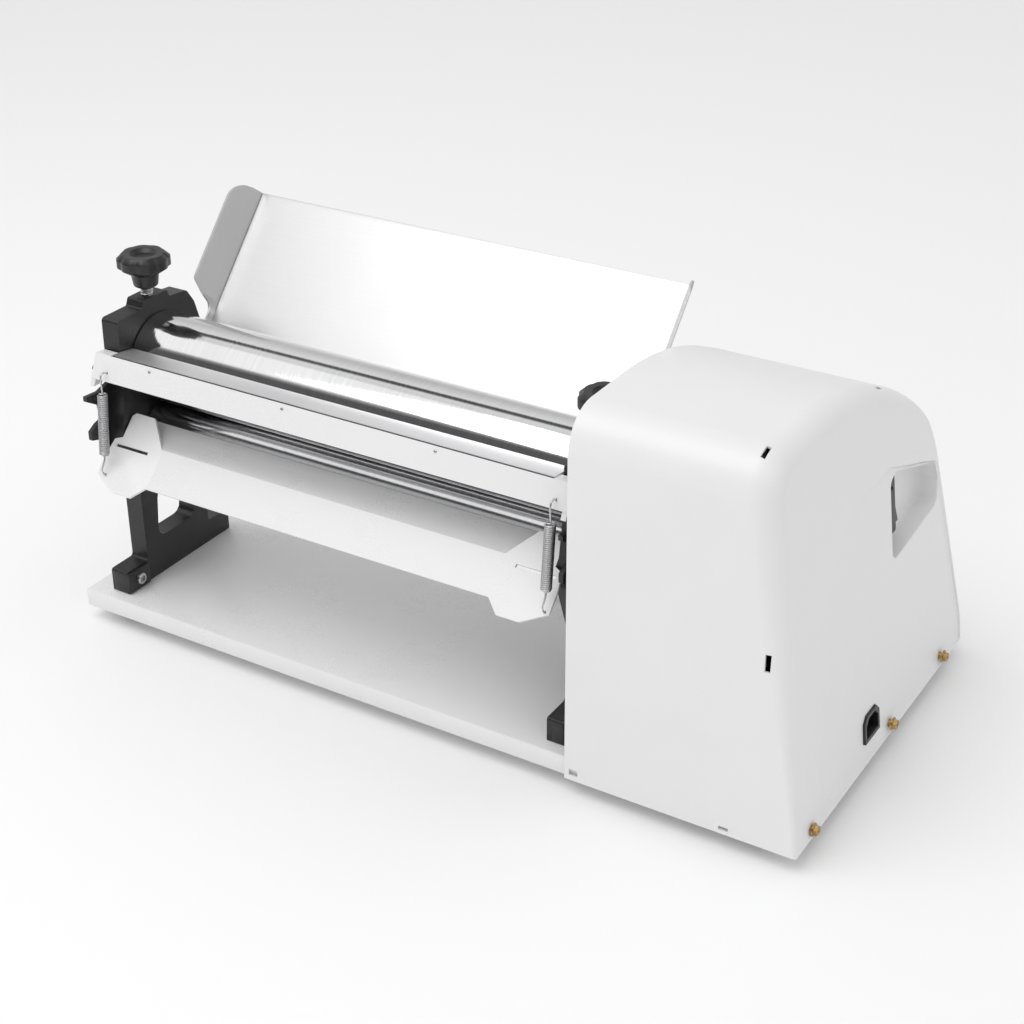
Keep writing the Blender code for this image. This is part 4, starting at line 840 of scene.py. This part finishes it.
def drive_cover():
    """The sheet with its wall, less the inlet, the screw holes and the clip slots."""
    shell = finish_piece(
        "cover_moulding", cover_sheet(), "frame", white_moulding, ["cover_shell"], sharp=40,
    )
    tallest = max(shell.data.polygons, key=lambda face: face.center.z)
    if tallest.normal.z < 0:
        shell.data.flip_normals()
    wall = shell.modifiers.new("wall", "SOLIDIFY")
    wall.thickness = cover_wall
    wall.offset = -1.0
    wall.use_quality_normals = True
    settle(shell)
    grid = leaned_prism(inlet_outline(0.0003), -0.010, 0.010)
    cuts = [cutter("inlet_cut", surface_mesh("inlet_cut", grid, True))]
    slots = (
        ((0.5910, -0.0200, 0.1380), (0.5950, 0.0080, 0.1510)),
        ((0.5656, -0.0200, 0.0030), (0.5730, 0.0060, 0.0060)),
        ((0.4500, -0.0200, 0.0040), (0.4570, 0.0060, 0.0090)),
        ((0.5720, 0.0125, 0.2700), (0.5752, 0.0225, 0.2900)),
        ((0.5770, 0.1880, 0.2440), (0.5800, 0.1970, 0.2640)),
    )
    for index, (low, high) in enumerate(slots):
        grid = straight_box(low, high)
        cuts.append(cutter(f"clip_cut_{index}", surface_mesh(f"clip_cut_{index}", grid, True)))
    for index, y in enumerate((0.0240, 0.1670, 0.2710)):
        profile = [(0.61, 0), (0.61, 0.0028), (0.63, 0.0028), (0.63, 0)]
        grid = turned_along(profile, (y, 0.0076), steps=32) + corner
        cuts.append(cutter(f"screw_cut_{index}", surface_mesh(f"screw_cut_{index}", grid, True)))
    for made in cuts:
        cut = shell.modifiers.new(made.name, "BOOLEAN")
        cut.operation = "DIFFERENCE"
        cut.solver = "EXACT"
        cut.object = made
    carved = settle(shell)
    for made in cuts:
        bpy.data.objects.remove(made, do_unlink=True)
    carved.set_sharp_from_angle(angle=math.radians(35))
    even = shell.modifiers.new("even", "WEIGHTED_NORMAL")
    even.keep_sharp = True
    carved = settle(shell)
    carved.materials.clear()
    carved.materials.append(white_moulding)


drive_cover()


# ---- Switch and mains inlet.
# Black moulded parts: a housing with a rocker in the cover's recess, and a three-pin inlet flush with the
# face.
eased("switch_body", "frame", black_moulding, 0.0006)
eased("switch_rocker", "rocker", black_moulding, 0.0004)
eased("inlet_socket", "frame", black_moulding, 0.0004)


# ---- Cover screws.
# Brass-coloured hexagon heads on flanges, driven through the cover into the base plate's edge.
def cover_screw(node):
    """A lathe-turned flange and a six-sided head whose radius follows the sides of a hexagon."""
    low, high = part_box(node)
    centre = (0.5 * (low[1] + high[1]), 0.5 * (low[2] + high[2]))
    wide = 0.5 * (high[1] - low[1])
    face = high[0] - 0.0040
    section = np.array([
        (low[0], 0.0, 0), (low[0], 0.0025, 0), (face, 0.0025, 0), (face, 0.98 * wide, 0),
        (face + 0.0004, wide, 0),
        (face + 0.0011, 0.94 * wide, 0), (face + 0.0012, 0.80 * wide, 1), (face + 0.0034, 0.80 * wide, 1),
        (high[0], 0.66 * wide, 0.4), (high[0], 0.34 * wide, 0), (high[0] - 0.0006, 0.30 * wide, 0),
        (high[0] - 0.0006, 0.0, 0),
    ])
    turn = np.linspace(0, 2 * np.pi, 72, endpoint=False)
    sides = math.cos(math.pi / 6) / np.cos((turn + math.pi / 6) % (math.pi / 3) - math.pi / 6)
    radius = section[:, 1:2] * (1 + section[:, 2:3] * (sides - 1))
    grid = np.stack([
        section[:, :1] + 0 * radius, centre[0] + radius * np.cos(turn), centre[1] + radius * np.sin(turn),
    ], axis=-1)
    mesh = surface_mesh(node + "_hex", grid, True)
    finish_piece(node + "_hex", mesh, "frame", turned_brass, [node], sharp=25)


for place in ("front", "middle", "rear"):
    cover_screw("cover_screw_" + place)
